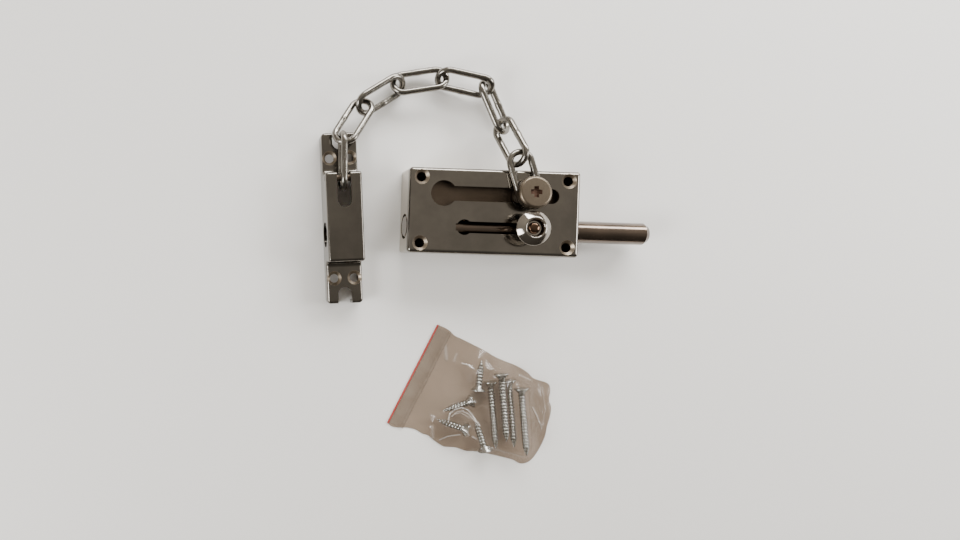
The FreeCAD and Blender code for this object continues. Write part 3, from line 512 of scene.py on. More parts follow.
def keeper_chrome():
    """The keeper's chrome, darker, with painted highlights on its ears' four countersinks and a dull box and
    ears inside.
    """
    spots = [Vector(mount["pos_m"]) for mount in frame["record"]["mounts"]
             if mount["name"].startswith("keeper_hole")]
    middle = sum(spots, Vector()) / 4
    near_left, near_right, far_left = (
        Vector(mount_named(f"keeper_hole_{corner}")["pos_m"])
        for corner in ("near_left", "near_right", "far_left"))
    run, across = far_left - near_left, near_right - near_left
    return chrome_on_pressing(
        "keeper_chrome", (middle.x, middle.y, 0), math.atan2(-run.x, run.y),
        (across.length / 2, run.length / 2), 3.4, [(7.05, 19.55, 16.55), (7.05, 39.55, 5.55)], 0.76, -1.0)


def turned_chrome():
    """Chrome over turned brass: a sharp mirror with very fine rings from the lathe."""
    return mottled("turned_chrome", tones("chrome", 1.2, 1.5), (5, 4, 0.5, EVEN),
                   (0.5, 2, 0.5, (0.4, 0.4, 6)), (0.3, 0.7, 0.05, 0.14), (0.006, 0.4), METAL,
                   patchy_gloss=True)[0]


def drawn_nickel():
    """Thin nickel on a drawn rod with a film of oil: soft streaks along its length, a brown tone and a white
    gloss.
    """
    return mottled("drawn_nickel", tones("nickel", 0.7, 1), (11, 4, 0.5, EVEN), (0.8, 3, 0.6, (0.03, 1, 1)),
                   (0.3, 0.7, 0.16, 0.28), (0.012, 0.5),
                   {**METAL, "Coat Weight": 1.0, "Coat Roughness": 0.14}, span=(0.35, 0.65))[0]


def satin_nickel():
    """Turned and satin plated: fine rings that spread the highlight."""
    return mottled("satin_nickel", tones("satin", 0.82, 1), (4, 4, 0.5, EVEN), (0.25, 3, 0.6, EVEN),
                   (0.3, 0.7, 0.30, 0.44), (0.006, 0.5), METAL)[0]


def polished_dome():
    """The brown polished head of the knob's screw: small sharp highlights, fine turning rings."""
    fine = (0.4, 3, 0.5, EVEN)
    return mottled("polished_dome", tones("dome", 0.8, 1), fine, fine, (0.3, 0.7, 0.1, 0.2), (0.005, 0.4),
                   METAL)[0]


def recess_grime():
    """Painted shade in a driver's recess: dark brown, dull and uneven."""
    lumps = (0.6, 4, 0.5, EVEN)
    return mottled("recess_grime", tones("recess", 0.6, 1), lumps, lumps, (0.3, 0.7, 0.4, 0.6), (0.03, 0.6),
                   {"Metallic": 0.6})[0]


def bright_chain_plate():
    """Barrel-plated wire: bright, with the small dings that the barrel leaves."""
    return mottled("bright_chain_plate", tones("chain", 0.8, 1), (6, 4, 0.5, EVEN), (1.1, 3, 0.5, EVEN),
                   (0.3, 0.7, 0.14, 0.28), (0.03, 0.5), METAL, span=(0.35, 0.65))[0]


def oiled_steel():
    """Plain pressed sheet with rolling lines and a film of oil: dull, with long soft streaks."""
    return mottled("oiled_steel", tones("steel", 0.65, 1), (8, 4, 0.5, EVEN), (0.6, 3, 0.6, (0.05, 1, 1)),
                   (0.3, 0.7, 0.3, 0.5), (0.02, 0.5), METAL)[0]


def blued_spring():
    """Heat-blued strip: dark, with a faint blue cast that varies along it."""
    cloud = (3, 4, 0.5, EVEN)
    return mottled("blued_spring", tones("spring", 0.6, 1), cloud, cloud, (0.3, 0.7, 0.25, 0.4), (0.01, 0.4),
                   METAL)[0]


def clear_zinc():
    """Clear zinc over a rolled thread: slightly frosted, with painted shade darkening the grooves so the
    crests stand out bright.
    """
    frost = (0.5, 3, 0.5, EVEN)
    material, tree, shader, colour, _ = mottled(
        "clear_zinc", tones("zinc", 0.75, 1), frost, frost, (0.3, 0.7, 0.14, 0.28), (0.01, 0.5), METAL)
    # painted shade: the deeper a point lies in the thread, the darker its colour
    groove = add(tree, "ShaderNodeAttribute", attribute_name="groove").outputs["Fac"]
    groove_shaded = add(tree, "ShaderNodeMix", {7: tones("groove", 1)[0]}, {0: groove, 6: colour}, data_type="RGBA")
    tree.links.new(groove_shaded.outputs[2], shader.inputs["Base Color"])
    return material


def milky_polythene():
    """Blown polythene, the bag's back: milky and soft, a little cloudy where it lies off the table."""
    return mottled("milky_polythene", tones("film", 0.88, 1.06), (16, 5, 0.6, EVEN),
                   (3, 4, 0.7, (1, 0.35, 1)), (0.35, 0.65, 0.3, 0.5), (0.1, 0.4),
                   {"IOR": POLYTHENE_IOR}, span=(0.3, 0.7))[0]


def clear_polythene():
    """Blown polythene over the screws: clear and glossy, with a painted highlight along the listed creases,
    where it is also less clear.
    """
    lines = (2.5, 4, 0.7, (1, 0.35, 1))
    material, tree, shader, colour, _ = mottled(
        "clear_polythene", tones("clear_film", 1, 1), lines, lines, (0.35, 0.65, 0.1, 0.24), (0.14, 0.6),
        {"IOR": 1.6, "Specular IOR Level": 0.8, "Coat Weight": 1.0, "Coat Roughness": 0.06})
    crease = add(tree, "ShaderNodeAttribute", attribute_name="crease").outputs["Fac"]
    # painted highlight: near white and less clear along the listed creases
    crease_glint = add(tree, "ShaderNodeMix", {7: (0.95, 0.93, 0.9, 1)}, {0: crease, 6: colour}, data_type="RGBA")
    cover = add(tree, "ShaderNodeMapRange", {"To Min": finishes().film_cover, "To Max": 0.75},
                {"Value": crease})
    tree.links.new(crease_glint.outputs[2], shader.inputs["Base Color"])
    tree.links.new(cover.outputs["Result"], shader.inputs["Alpha"])
    return material


def doubled_polythene():
    """The doubled film of the mouth with its extruded ribs: milkier than the rest, with a soft gloss."""
    cloud = (6, 4, 0.6, EVEN)
    material, tree, shader, _, patches = mottled(
        "doubled_polythene", [*tones("film", 1), *tones("clear_film", 1)], cloud, cloud,
        (0.3, 0.7, 0.2, 0.35), (0.08, 0.4), {"IOR": POLYTHENE_IOR, "Specular IOR Level": 0.7})
    cover = add(tree, "ShaderNodeMapRange", {"From Min": 0.3, "From Max": 0.7, "To Min": 0.3, "To Max": 0.45},
                {"Value": patches})
    tree.links.new(cover.outputs["Result"], shader.inputs["Alpha"])
    return material


def dyed_lip():
    """Dyed polythene: red, with a soft gloss, slightly uneven."""
    cloud = (2, 3, 0.5, EVEN)
    return mottled("dyed_lip", tones("stripe", 0.85, 1), cloud, cloud, (0.3, 0.7, 0.35, 0.5), (0.03, 0.4),
                   {"IOR": POLYTHENE_IOR})[0]


def pale_table():
    """Matt laminate: almost white, with a very faint mottle."""
    cloud = (40, 4, 0.5, EVEN)
    return mottled("pale_table", tones("table", 0.985, 1), cloud, cloud, (0.3, 0.7, 0.75, 0.85), None, {})[0]


MAKERS = (case_chrome, keeper_chrome, turned_chrome, polished_dome, drawn_nickel, satin_nickel, recess_grime,
          bright_chain_plate, oiled_steel, blued_spring, clear_zinc, milky_polythene, clear_polythene,
          doubled_polythene, dyed_lip, pale_table)


def material_named(name):
    """The material of that name, made the first time it is asked for."""
    maker = next(maker for maker in MAKERS if maker.__name__ == name)
    return bpy.data.materials.get(name) or maker()


def give(node, name):
    """Puts a material on a CAD node, which keeps its shape."""
    materials = NODES[node].data.materials
    materials.clear()
    materials.append(material_named(name))


# ---- operators: the case ----

class GUARD_OT_case(bpy.types.Operator):
    """Finishes the chromed case and what is inside it"""
    bl_idname = "guard.case"
    bl_label = "Lock case"

    def execute(self, context):
        give("case_shell", "case_chrome")
        for node in ("back_plate", "screw_pillars", "track_posts", "guide_block_left", "guide_block_right",
                     "chain_track"):
            give(node, "oiled_steel")
        for node in ("back_screw_left", "back_screw_right"):
            give(node, "clear_zinc")
        give("bolt_spring", "blued_spring")
        return {"FINISHED"}


class GUARD_OT_keeper(bpy.types.Operator):
    """Finishes the chromed keeper and its pin"""
    bl_idname = "guard.keeper"
    bl_label = "Keeper"

    def execute(self, context):
        give("keeper_shell", "keeper_chrome")
        give("keeper_pin", "oiled_steel")
        return {"FINISHED"}


# ---- operators: bolt, knob and button ----

class GUARD_OT_bolt(bpy.types.Operator):
    """Finishes the bolt, and turns its knob and the knob's domed screw with smooth curves"""
    bl_idname = "guard.bolt"
    bl_label = "Bolt and knob"

    def execute(self, context):
        give("bolt_rod", "drawn_nickel")
        self.make_knob()
        self.make_knob_screw()
        return {"FINISHED"}

    def make_knob(self):
        foot, tall, rim = seat("bolt_knob")
        over_face = 0.5
        neck = (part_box("case_shell")[1].z - foot.z) / MM + over_face
        profile = rounded([
            (1.5, 0, 0), (2.5, 0, 0), (2.5, neck, 0.3), (4.05, neck, 0.5), (4.2, neck + 2.6, 2.5),
            (5.0, neck + 5.6, 2.5), (rim - 0.5, tall - 3.8, 0.6), (rim, tall - 2.9, 0.5),
            (rim, tall - 2.35, 0.7), (rim - 1.7, tall - 0.95, 2.2), (4.9, tall - 0.02, 0.9),
            (4.25, tall, 0.3), (3.9, tall - 0.6, 0.4), (3.45, tall - 2.4, 0.3), (1.5, tall - 2.4, 0),
        ])
        vertices, faces = turned(profile, around=128)
        piece = new_piece("knob_turning", [v + foot for v in vertices], faces, "turned_chrome", 50)
        stand_in(piece, "bolt", "bolt_knob")

    def make_knob_screw(self):
        foot, tall, head = seat("knob_screw")
        dome = 1.72
        seam = tall - dome
        profile = rounded([
            (0, 0, 0), (1.3, 0, 0), (1.5, 0.4, 0.1), (1.5, seam, 0), (head, seam, 0.1),
            (head, seam + 0.45, 0.4), (head * 0.84, seam + 1.25, 1.2), (head * 0.4, tall, 1.5), (0, tall, 0),
        ])
        vertices, faces = turned(profile, around=64)
        piece = new_piece("knob_screw_dome", [v + foot for v in vertices], faces, "polished_dome", 50)
        weld_points(piece)
        stand_in(piece, "bolt", "knob_screw")


class GUARD_OT_button(bpy.types.Operator):
    """Turns the chain's button with its rounded rim and driver's cross, and finishes its foot"""
    bl_idname = "guard.button"
    bl_label = "Chain button"

    def execute(self, context):
        give("button_foot", "satin_nickel")
        foot, lean, tall = self.stance()
        head, shank, thick = 7.5, 2.0, 5.0
        profile = rounded([
            (0, 0, 0), (shank, 0, 0.2), (shank, tall - thick, 0), (head - 0.5, tall - thick, 0.4),
            (head, tall - thick + 0.5, 0.4), (head, tall - 0.9, 0.8), (head - 0.8, tall, 0.8), (0, tall, 0),
        ])
        vertices, faces = turned(profile, around=128)
        piece = new_piece("button_turning", vertices, faces, "satin_nickel", 40)
        cut_cross(piece, span=5.6, arm=2.3, depth=1.3, top=tall, taper=0.3)
        # painted shade in the cross recess
        self.darken_recess(piece, tall)
        place_on(piece, foot, lean)
        stand_in(piece, "chain_button", "button_screw")
        return {"FINISHED"}

    def stance(self):
        """The middle of the shank's end, the button's axis, and its height along the axis in millimetres."""
        nearly_level = 0.95
        level = [p for p in NODES["button_screw"].data.polygons if p.normal.z > nearly_level]
        lean = sum((p.normal * p.area for p in level), Vector()).normalized()
        points = node_points("button_screw")
        along = points @ np.array(lean)
        ring = points[along < along.min() + 0.02 * MM]
        return Vector((ring.max(0) + ring.min(0)) / 2), lean, float(along.max() - along.min()) / MM

    def darken_recess(self, piece, tall):
        """Gives the walls and floor of the cross a dark brown, duller material, a painted shade."""
        piece.data.materials.append(material_named("recess_grime"))
        reach, depth = 3.2, 1.4
        for polygon in piece.data.polygons:
            spot = polygon.center / MM
            if math.hypot(spot.x, spot.y) < reach and tall - depth < spot.z < tall - 0.01:
                polygon.material_index = 1


# ---- operators: the chain ----

class GUARD_OT_chain(bpy.types.Operator):
    """Bends and welds the links of the chain"""
    bl_idname = "guard.chain"
    bl_label = "Chain"

    def execute(self, context):
        for number, name in enumerate(LINKS):
            middle, way, across = surface_axes(name)
            vertices, faces = self.link(number)
            turn = Matrix((way, across, way.cross(across))).transposed().to_4x4()
            placed = [Matrix.Translation(middle) @ turn @ v for v in vertices]
            piece = new_piece(f"{name}_welded", placed, faces, "bright_chain_plate", 60)
            stand_in(piece, name, name)
        return {"FINISHED"}

    def link(self, number):
        """The points of one link: round wire along a stadium, swollen and a little rough at its weld."""
        s = sizes()
        along, around = 150, 20
        weld_reach, groove_reach, roughness = 1.1 * MM, 0.28 * MM, 0.35
        radius = s.wire / 2
        bend = s.link_width / 2 - radius
        straight = s.link_length - s.link_width
        whole = 2 * straight + 2 * math.pi * bend
        side = 1 if number % 2 else -1
        vertices = []
        for i in range(along):
            spot, way, bar_place = self.on_stadium(i / along * whole, straight, bend, side)
            out = Vector((way.y, -way.x, 0))
            swell = s.weld_swell * math.exp(-(bar_place / weld_reach) ** 2)
            groove = 0.5 * s.weld_swell * math.exp(-(bar_place / groove_reach) ** 2)
            for j in range(around):
                a = 2 * math.pi * j / around
                lump = noise.noise(Vector((i * 0.9, math.cos(a) * 2, math.sin(a) * 2 + number))) * roughness
                reach = radius + (swell - groove) * (1 + lump)
                vertices.append(spot + (out * math.cos(a) + Vector((0, 0, 1)) * math.sin(a)) * reach)
        return vertices, grid_faces(along, around, True, True)

    def on_stadium(self, s, straight, bend, side):
        """A point of the link's centre line, its direction, and its distance from the weld's middle."""
        half_turn = math.pi * bend
        far_from_weld = 1.0
        if s < straight:
            spot = Vector((-straight / 2 + s, -bend * side, 0))
            return spot, Vector((1, 0, 0)), abs(spot.x)
        if straight + half_turn <= s < 2 * straight + half_turn:
            spot = Vector((straight / 2 - (s - straight - half_turn), bend * side, 0))
            return spot, Vector((-1, 0, 0)), far_from_weld
        if s < straight + half_turn:
            end, a = straight / 2, (s - straight) / bend - math.pi / 2
        else:
            end, a = -straight / 2, (s - 2 * straight - half_turn) / bend + math.pi / 2
        return (Vector((end + bend * math.cos(a), bend * math.sin(a) * side, 0)),
                Vector((-math.sin(a), math.cos(a) * side, 0)), far_from_weld)


# ---- operators: the wood screws ----

# A wood screw's tapered point and the outside of its thread, in millimetres.
POINT_LENGTH = 4.5
THREAD_RADIUS = 1.75


class GUARD_OT_screws(bpy.types.Operator):
    """Rolls the threads of the wood screws in the bag"""
    bl_idname = "guard.screws"
    bl_label = "Wood screws"

    def execute(self, context):
        for node in ("case_screws", "keeper_screws"):
            for number, points in enumerate(islands(node), start=1):
                self.place_screw(f"{node}_{number}", node, points)
        return {"FINISHED"}

    def place_screw(self, name, node, points):
        _, along = lengthwise(points - points.mean(0))
        head_ring = points[along < along.min() + 0.02 * MM]
        head = (head_ring.max(0) + head_ring.min(0)) / 2
        tip = points[along.argmax()]
        whole = float(np.linalg.norm(tip - head))
        radius = float(np.linalg.norm(head_ring - head, axis=1).max())
        piece = self.screw(name, whole / MM, radius / MM)
        place_on(piece, Vector(head), Vector(head - tip).normalized())
        stand_in(piece, "screw_bag", node)

    def screw(self, name, whole, head):
        """A countersunk wood screw, its head's top at z = 0, in millimetres."""
        s = sizes()
        pitch, depth = s.thread_pitch / MM, s.thread_depth / MM
        around, rows_per_turn = 24, 9
        rows = []
        for r, z in ((0.0, 0.0), (head - 0.15, 0.0), (head, -0.12), (head, -0.35), (1.9, -2.0), (1.45, -2.6)):
            rows.append((r, r, z, False))
        start, end = 3.0, whole
        count = int((end - start) / pitch * rows_per_turn)
        for k in range(count + 1):
            z = start + (end - start) * k / count
            taper = min(1.0, max(0.0, end - z) / POINT_LENGTH)
            core = max(0.04, (THREAD_RADIUS - depth) * taper)
            rows.append((core, max(0.05, THREAD_RADIUS * taper ** 0.7), -z, True))
        vertices = []
        for core, crest, z, threaded in rows:
            for j in range(around):
                a = 2 * math.pi * j / around
                r = core
                if threaded:
                    turn = (z / pitch + j / around) % 1.0
                    r = core + (crest - core) * (0.5 - 0.5 * math.cos(2 * math.pi * turn)) ** 0.7
                vertices.append(Vector((r * math.cos(a), r * math.sin(a), z)) * MM)
        piece = new_piece(name, vertices, tube_faces(len(rows), around), "clear_zinc", 50)
        cut_cross(piece, span=3.6, arm=0.9, depth=1.3, top=0.0, taper=0.35)
        spots = np.array([vertex.co for vertex in piece.data.vertices]) / MM
        radius, below_head = np.hypot(spots[:, 0], spots[:, 1]), -spots[:, 2]
        crest = THREAD_RADIUS * np.clip((whole - below_head) / POINT_LENGTH, 0.02, 1) ** 0.7
        # how deep each point lies in the thread, for the painted shade in the grooves
        store(piece, "groove", np.clip(1.7 * (crest - radius) / depth - 0.5, 0, 1) * (below_head > start))
        return piece


# ---- operators: the bag ----

# The bag's edge in its own frame, in millimetres from the middle of its mouth: along one side, round the
# closed end and back along the other side.
BAG_EDGE = [(0, -27), (3, -27.7), (6, -26.8), (10, -24.8), (14, -23.8), (18, -24), (21, -23.5),
            (25, -24.4), (30, -24.9), (33, -23.8), (36, -22.6), (41, -21.8), (44.5, -20.2), (49, -18.8),
            (54, -17.4), (59, -16.2), (63.5, -15.2), (67.5, -15.2), (70.3, -13.4), (72, -10), (72.7, -4),
            (72.5, 2), (71, 7.5), (70.2, 12), (68.5, 16.5), (65.8, 19.5), (64.5, 23.5), (62, 26),
            (57, 25.4), (54, 25.1), (51, 26.1), (46.5, 26.7), (42, 26.6), (36.5, 26), (31.5, 25.9),
            (26, 26.3), (15, 26.2), (10, 26.1), (7, 27.1), (3.3, 27.3), (0, 26.9)]

# Creases of the clear film: height and half width in millimetres, strength of the painted highlight, and the
# line's points.
CREASES = [
    (0.50, 0.34, 1.0,
     [(24.4, -12), (23.6, -9), (24.5, -6), (27, -3.7), (30.4, -3.3), (33.6, -4.6), (38.6, -7.4)]),
    (0.35, 0.30, 0.8, [(25, -9.7), (26, -6.7), (28.3, -4.9), (31.6, -4.9), (36.9, -6.9)]),
    (0.30, 0.30, 0.5, [(25.8, -8), (27.8, -6.2), (30.7, -6.2), (33, -6.4)]),
    (0.40, 0.32, 0.9, [(26.7, -22.9), (28.8, -19.3), (33, -15.7)]),
    (0.40, 0.30, 0.9, [(58.5, 12), (64, 8.5), (68.8, 4.5)]),
    (0.35, 0.40, 0.9, [(19.2, 15.6), (22.2, 16.3), (24.5, 16)]),
    (0.30, 0.55, 0.8, [(33.7, -12.5), (36.3, -14)]),
    (0.30, 0.45, 0.8, [(38.3, -13.8), (40.7, -14)]),
    (0.40, 1.30, 0.30, [(8.5, 19.5), (11.7, 14)]),
    (0.35, 1.00, 0.25, [(15, 18.3), (15.4, 15)]),
    (0.40, 1.20, 0.30, [(20.1, -18.8), (23.4, -23.5)]),
    (0.35, 0.80, 0.25, [(46, 23.2), (52, 23.4)]),
    (0.40, 0.60, 0.20, [(60, 22), (66, 14), (68, 6)]),
    (0.35, 0.60, 0.20, [(47, -15), (58, -13), (66, -11)]),
]
FILM_THICKNESS = 0.06
EDGE_HEIGHT = 0.4
FILM_GAP = 0.02


class GUARD_OT_bag(bpy.types.Operator):
    """Drapes the bag's film over the screws and adds its grip seal and coloured lip"""
    bl_idname = "guard.bag"
    bl_label = "Bag"

    def execute(self, context):
        self.find_frame()
        self.edge = self.edge_curve()
        self.drape()
        self.back_film()
        self.front_film()
        self.seal()
        self.stripe()
        return {"FINISHED"}

    def find_frame(self):
        """The bag's own frame: u from the mouth towards the closed end, v along the mouth."""
        points = node_points("bag_stripe")
        middle = (points.max(0) + points.min(0)) / 2
        v = Vector(np.linalg.svd(points - points.mean(0), full_matrices=False)[2][0])
        v.z = 0
        v.normalize()
        if v.y < 0:
            v = -v
        u = Vector((v.y, -v.x, 0))
        half_lip = 0.5 * MM
        corner = Vector((middle[0], middle[1], 0)) - u * half_lip
        self.frame = Matrix.Translation(corner) @ Matrix((u, v, Vector((0, 0, 1)))).transposed().to_4x4()
        self.inverse = self.frame.inverted()

    def edge_curve(self):
        """The bag's edge as a smooth line of many points, in millimetres."""
        spots = [Vector(p) for p in BAG_EDGE]
        line = []
        for n in range(len(spots) - 1):
            a, b, c, d = spots[max(n - 1, 0)], spots[n], spots[n + 1], spots[min(n + 2, len(spots) - 1)]
            for k in range(6):
                t = k / 6
                line.append(0.5 * ((2 * b) + (c - a) * t + (2 * a - 5 * b + 4 * c - d) * t ** 2
                                   + (3 * b - a - 3 * c + d) * t ** 3))
        line.append(spots[-1])
        return line

    # -- the film's height over the screws --

    def screw_tops(self, u, v):
        """The height of the screws' tops over a grid of the bag's frame, in millimetres."""
        head, narrower, rest = 3.4, 1.65, 0.35
        tops = np.zeros(u.shape)
        for node in ("case_screws", "keeper_screws"):
            for points in islands(node):
                local = np.array([self.inverse @ Vector(p) for p in points]) / MM
                middle = local.mean(0)
                way, along = lengthwise(local - middle)
                flat = way[:2] / np.linalg.norm(way[:2])
                du, dv = u - middle[0], v - middle[1]
                t = du * flat[0] + dv * flat[1]
                off = np.abs(dv * flat[0] - du * flat[1])
                head_end, tip_end = along.min(), along.max()
                radius = head - narrower * np.clip((t - head_end - 0.4) / 1.6, 0, 1)
                radius = radius * np.clip((tip_end - t) / POINT_LENGTH, 0, 1) ** 0.6
                over = (t > head_end) & (t < tip_end) & (off < radius)
                top = middle[2] + np.sqrt(np.maximum(radius ** 2 - off ** 2, 0)) + rest
                tops = np.where(over, np.maximum(tops, top), tops)
        return tops

    def drape(self):
        """Pulls the film down: each point sinks to the mean of its neighbours unless a screw holds it up."""
        self.cell, sag = 0.5, 0.004
        self.us, self.vs = np.arange(-2, 76, self.cell), np.arange(-30, 30, self.cell)
        u, v = np.meshgrid(self.us, self.vs, indexing="ij")
        inside = self.inside_edge(u, v)
        tops = self.screw_tops(u, v)
        z = np.maximum(tops, EDGE_HEIGHT)
        for _ in range(2200):
            mean = (np.roll(z, 1, 0) + np.roll(z, -1, 0) + np.roll(z, 1, 1) + np.roll(z, -1, 1)) / 4
            z = np.where(inside, np.maximum(tops, mean - sag), EDGE_HEIGHT)
            z = np.maximum(z, EDGE_HEIGHT)
        self.draped = z

    def inside_edge(self, u, v):
        """Which cells of the grid lie inside the bag's edge."""
        odd = np.zeros(u.shape, bool)
        for a, b in zip(self.edge, self.edge[1:] + self.edge[:1]):
            if a.y == b.y:
                continue
            crosses = (a.y > v) != (b.y > v)
            odd ^= crosses & (u < (b.x - a.x) * (v - a.y) / (b.y - a.y) + a.x)
        return odd

    def height_at(self, u, v):
        """Reads the draped height between the grid's points."""
        x, y = (u - self.us[0]) / self.cell, (v - self.vs[0]) / self.cell
        i = np.clip(x.astype(int), 0, len(self.us) - 2)
        j = np.clip(y.astype(int), 0, len(self.vs) - 2)
        fx, fy = x - i, y - j
        z = self.draped
        return ((z[i, j] * (1 - fx) + z[i + 1, j] * fx) * (1 - fy)
                + (z[i, j + 1] * (1 - fx) + z[i + 1, j + 1] * fx) * fy)

    def crumple(self, u, v):
        """Random creases of handled film, in millimetres: ridges that fan out and soft dents between them."""
        rise = np.zeros(u.shape)
        for spot in np.ndindex(u.shape):
            here = Vector((u[spot] * 0.055, v[spot] * 0.085, 0.3))
            warp = noise.noise_vector(here) * 0.9
            ridge = 1 - abs(noise.noise(here * 1.6 + warp)) * 3.2
            fine = 1 - abs(noise.noise(here * 4.1 + warp * 1.7 + Vector((7, 3, 1)))) * 3.0
            soft = noise.noise(here * 0.9 + Vector((2, 9, 4)))
            rise[spot] = max(ridge, -0.6) * 0.8 + max(fine, -0.4) * 0.3 + soft * 0.7
        return rise * sizes().crinkle / MM

    def named_creases(self, u, v):
        """The listed creases: their height in millimetres and how strong a painted highlight they give the
        film.
        """
        rise, white = np.zeros(u.shape), np.zeros(u.shape)
        for height, half_width, glint_strength, spots in CREASES:
            near = np.full(u.shape, 1e9)
            for (au, av), (bu, bv) in zip(spots, spots[1:]):
                du, dv = bu - au, bv - av
                t = np.clip(((u - au) * du + (v - av) * dv) / (du * du + dv * dv), 0, 1)
                near = np.minimum(near, np.hypot(u - au - t * du, v - av - t * dv))
            closeness = np.clip(1 - near / half_width, 0, 1)
            rise = np.maximum(rise, height * closeness)
            white = np.maximum(white, glint_strength * closeness)
        return rise, white

    # -- the films --

    def film_grid(self, rows, columns):
        """A grid that fills the bag's edge: u, v and the share across, from one side to the other."""
        top = max(p.x for p in self.edge)
        split = max(range(len(self.edge)), key=lambda n: self.edge[n].x)
        low = np.array([tuple(p) for p in self.edge[:split + 1]])
        high = np.array([tuple(p) for p in self.edge[split:][::-1]])
        s = np.linspace(0, 1, rows)
        line = top * (1 - (1 - s) ** 1.35)
        across = np.linspace(0, 1, columns)
        across = across - 0.06 * np.sin(2 * np.pi * across)
        a, b = np.interp(line, low[:, 0], low[:, 1]), np.interp(line, high[:, 0], high[:, 1])
        u = np.repeat(line[:, None], columns, 1)
        v = a[:, None] + (b - a)[:, None] * across[None, :]
        return u, v, np.repeat(across[None, :], rows, 0), top

    def film_piece(self, name, u, v, z, material, nodes):
        """A thin closed film through a grid of points."""
        rows, columns = u.shape
        flat = [Vector(p) for p in np.stack([u, v, z], -1).reshape(-1, 3)]
        upper = [self.frame @ (p * MM) for p in flat]
        under = [self.frame @ ((p - Vector((0, 0, FILM_THICKNESS))) * MM) for p in flat]
        count = rows * columns
        faces = grid_faces(rows, columns)
        faces += [tuple(n + count for n in reversed(face)) for face in grid_faces(rows, columns)]
        ring = [*range(columns), *(i * columns + columns - 1 for i in range(1, rows)),
                *((rows - 1) * columns + j for j in range(columns - 2, -1, -1)),
                *(i * columns for i in range(rows - 2, 0, -1))]
        faces += [(a, b, b + count, a + count) for a, b in zip(ring, ring[1:] + ring[:1])]
        piece = new_piece(name, upper + under, faces, material, 80)
        weld_points(piece, 0.01)
        tidy_normals(piece, 80)
        stand_in(piece, "screw_bag", *nodes)
        return piece

    def back_film(self):
        u, v, _, _ = self.film_grid(90, 50)
        level = np.full(u.shape, FILM_THICKNESS + FILM_GAP)
        piece = self.film_piece("bag_film_back", u, v, level, "milky_polythene", ["bag_back"])

    def front_film(self):
        rows, columns = ((230, 170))
        u, v, across, top = self.film_grid(rows, columns)
        draped = self.height_at(u, v)
        room = np.clip(12 * across * (1 - across), 0, 1)
        room = room * np.clip((u - 9) / 8, 0, 1) * np.clip((top - u) / 5, 0, 1)
        taut_above, taut = 6, 0.35
        loose = np.where(draped > taut_above, taut, 1.0) * room
        rise, _ = self.named_creases(u, v)
        z = 0.2 + np.maximum(draped - EDGE_HEIGHT, 0) + np.maximum(0.5 + self.crumple(u, v), 0) * loose
        z = z + rise * np.clip(room * 3, 0, 1)
        piece = self.film_piece("bag_film_front", u, v, z, "clear_polythene", ["bag_front"])
        # painted highlight along the listed creases, read by the clear film's material
        spots = np.array([self.inverse @ vertex.co for vertex in piece.data.vertices]) / MM
        _, glint_strength = self.named_creases(spots[:, 0], spots[:, 1])
        store(piece, "crease", glint_strength)

    # -- the mouth --

    def strip(self, name, outline, node, material, slot_name, reach, wave=0.0):
        """A narrow profile drawn along the mouth."""
        rows = 80
        vertices = []
        for i in range(rows):
            v = -reach + 2 * reach * i / (rows - 1)
            drift = wave * noise.noise(Vector((v * 0.07, 1.7, 0)))
            vertices += [self.frame @ (Vector((u + drift, v, z)) * MM) for u, z in outline]
        piece = new_piece(name, vertices, tube_faces(rows, len(outline)), material, 40)
        stand_in(piece, "screw_bag", node)

    def seal(self):
        """The grip seal's two ribs on the doubled film of the mouth."""
        outline = [(1.1, 0.32)]
        rib = ((-0.5, 0.36), (-0.34, 0.75), (-0.12, 0.92), (0.12, 0.92), (0.34, 0.75), (0.5, 0.36))
        for middle in (6.0, 7.3):
            outline += [(middle + aside, height) for aside, height in rib]
        outline += [(8.3, 0.32), (8.3, 0.28), (1.1, 0.28)]
        self.strip("bag_grip_seal", outline, "bag_seal", "doubled_polythene", "bag_film", 26.2, 0.25)

    def stripe(self):
        outline = [(0.1, 0.3), (0.78, 0.3), (0.78, 0.46), (0.66, 0.56), (0.22, 0.56), (0.1, 0.46)]
        self.strip("bag_lip", outline, "bag_stripe", "dyed_lip", "bag_stripe_red", 27.1)


# ---- operators: the stage ----

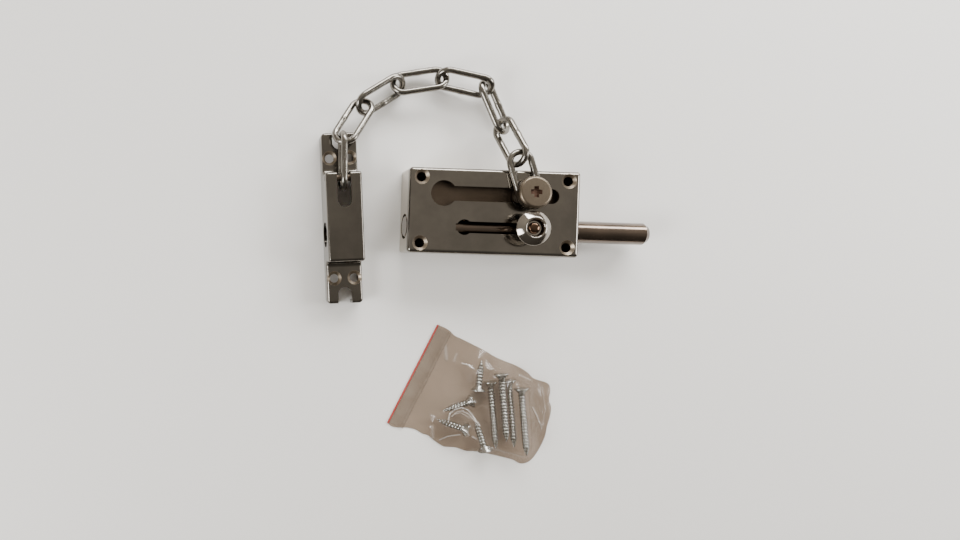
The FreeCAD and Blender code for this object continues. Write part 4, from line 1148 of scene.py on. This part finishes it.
class GUARD_OT_stage(bpy.types.Operator):
    """Sets out the pale table, the camera and the soft light"""
    bl_idname = "guard.stage"
    bl_label = "Stage"

    def execute(self, context):
        self.make_table()
        self.make_camera(context)
        self.make_world(context)
        self.make_lamps(context)
        return {"FINISHED"}

    def make_table(self):
        reach, drop = 3.0, 0.00012
        vertices = [(-reach, -reach, -drop), (reach, -reach, -drop), (reach, reach, -drop),
                    (-reach, reach, -drop)]
        table = mesh_object("table_top", vertices, [(0, 1, 2, 3)])
        table.data.materials.append(material_named("pale_table"))

    def make_camera(self, context):
        settings = stage_settings()
        data = bpy.data.cameras.new("table_camera")
        data.sensor_width = 36.0
        data.lens = settings.focal
        data.shift_x = settings.shift
        data.clip_start = 0.01
        camera = bpy.data.objects.new("table_camera", data)
        camera.location = settings.eye
        camera.rotation_euler = settings.turn
        context.scene.collection.objects.link(camera)
        context.scene.camera = camera

    def make_world(self, context):
        """A warm grey room, darker behind the viewer, for the metal to mirror."""
        settings = stage_settings()
        world = bpy.data.worlds.new("studio_room")
        world.use_nodes = True
        tree = world.node_tree
        tree.nodes.clear()
        way = add(tree, "ShaderNodeTexCoord").outputs["Generated"]
        axes = add(tree, "ShaderNodeSeparateXYZ", links={"Vector": way}).outputs
        height = add(tree, "ShaderNodeMapRange", {"From Min": 0.12, "From Max": 0.6}, {"Value": axes["Z"]})
        colour = add(tree, "ShaderNodeMix", {6: (*settings.horizon, 1), 7: (*settings.overhead, 1)},
                     {0: height.outputs["Result"]}, data_type="RGBA")
        strength = add(tree, "ShaderNodeMapRange",
                       {"From Min": -0.5, "From Max": 0.7, "To Min": settings.near_dark, "To Max": 1.7},
                       {"Value": axes["Y"]})
        background = add(tree, "ShaderNodeBackground",
                         links={"Color": colour.outputs[2], "Strength": strength.outputs["Result"]})
        add(tree, "ShaderNodeOutputWorld", links={"Surface": background.outputs["Background"]})
        context.scene.world = world

    def make_lamps(self, context):
        settings = stage_settings()
        for name, place, width, tall, power in (
            ("left_softbox", (-0.62, -0.24, 0.40), 0.34, 0.26, 1.1),
            ("right_softbox", (0.68, 0.02, 0.38), 0.30, 0.26, 0.9),
            ("far_softbox", (0.22, 0.64, 0.36), 0.90, 0.22, 3.0),
        ):
            data = bpy.data.lights.new(name, "AREA")
            data.shape = "RECTANGLE"
            data.size, data.size_y = width, tall
            data.energy = settings.floor_light * power
            lamp = bpy.data.objects.new(name, data)
            lamp.location = place
            lamp.rotation_euler = Vector(place).to_track_quat("Z", "Y").to_euler()
            context.scene.collection.objects.link(lamp)


# ---- the add-on ----

PIECES = (GUARD_OT_case, GUARD_OT_keeper, GUARD_OT_bolt, GUARD_OT_button, GUARD_OT_chain, GUARD_OT_screws,
          GUARD_OT_bag, GUARD_OT_stage)


class GUARD_PT_panel(bpy.types.Panel):
    """Lists the guard's pieces and what can be changed"""
    bl_idname = "GUARD_PT_panel"
    bl_label = "Door chain guard"
    bl_space_type = "VIEW_3D"
    bl_region_type = "UI"
    bl_category = "Door chain guard"

    def draw(self, context):
        for operator in PIECES:
            self.layout.operator(operator.bl_idname)
        for group in (context.scene.guard_finishes, context.scene.guard_sizes, context.scene.guard_stage):
            box = self.layout.box()
            for name in group.bl_rna.properties.keys():
                if name not in ("rna_type", "name"):
                    box.prop(group, name)


CLASSES = (GuardFinishes, GuardSizes, GuardStage, *PIECES, GUARD_PT_panel)


def register():
    for each in CLASSES:
        bpy.utils.register_class(each)
    bpy.types.Scene.guard_finishes = bpy.props.PointerProperty(type=GuardFinishes)
    bpy.types.Scene.guard_sizes = bpy.props.PointerProperty(type=GuardSizes)
    bpy.types.Scene.guard_stage = bpy.props.PointerProperty(type=GuardStage)


def unregister():
    del bpy.types.Scene.guard_stage
    del bpy.types.Scene.guard_sizes
    del bpy.types.Scene.guard_finishes
    for each in reversed(CLASSES):
        bpy.utils.unregister_class(each)


def main():
    register()
    for operator in PIECES:
        group, name = operator.bl_idname.split(".")
        getattr(getattr(bpy.ops, group), name)()


if __name__ == "__main__":
    main()
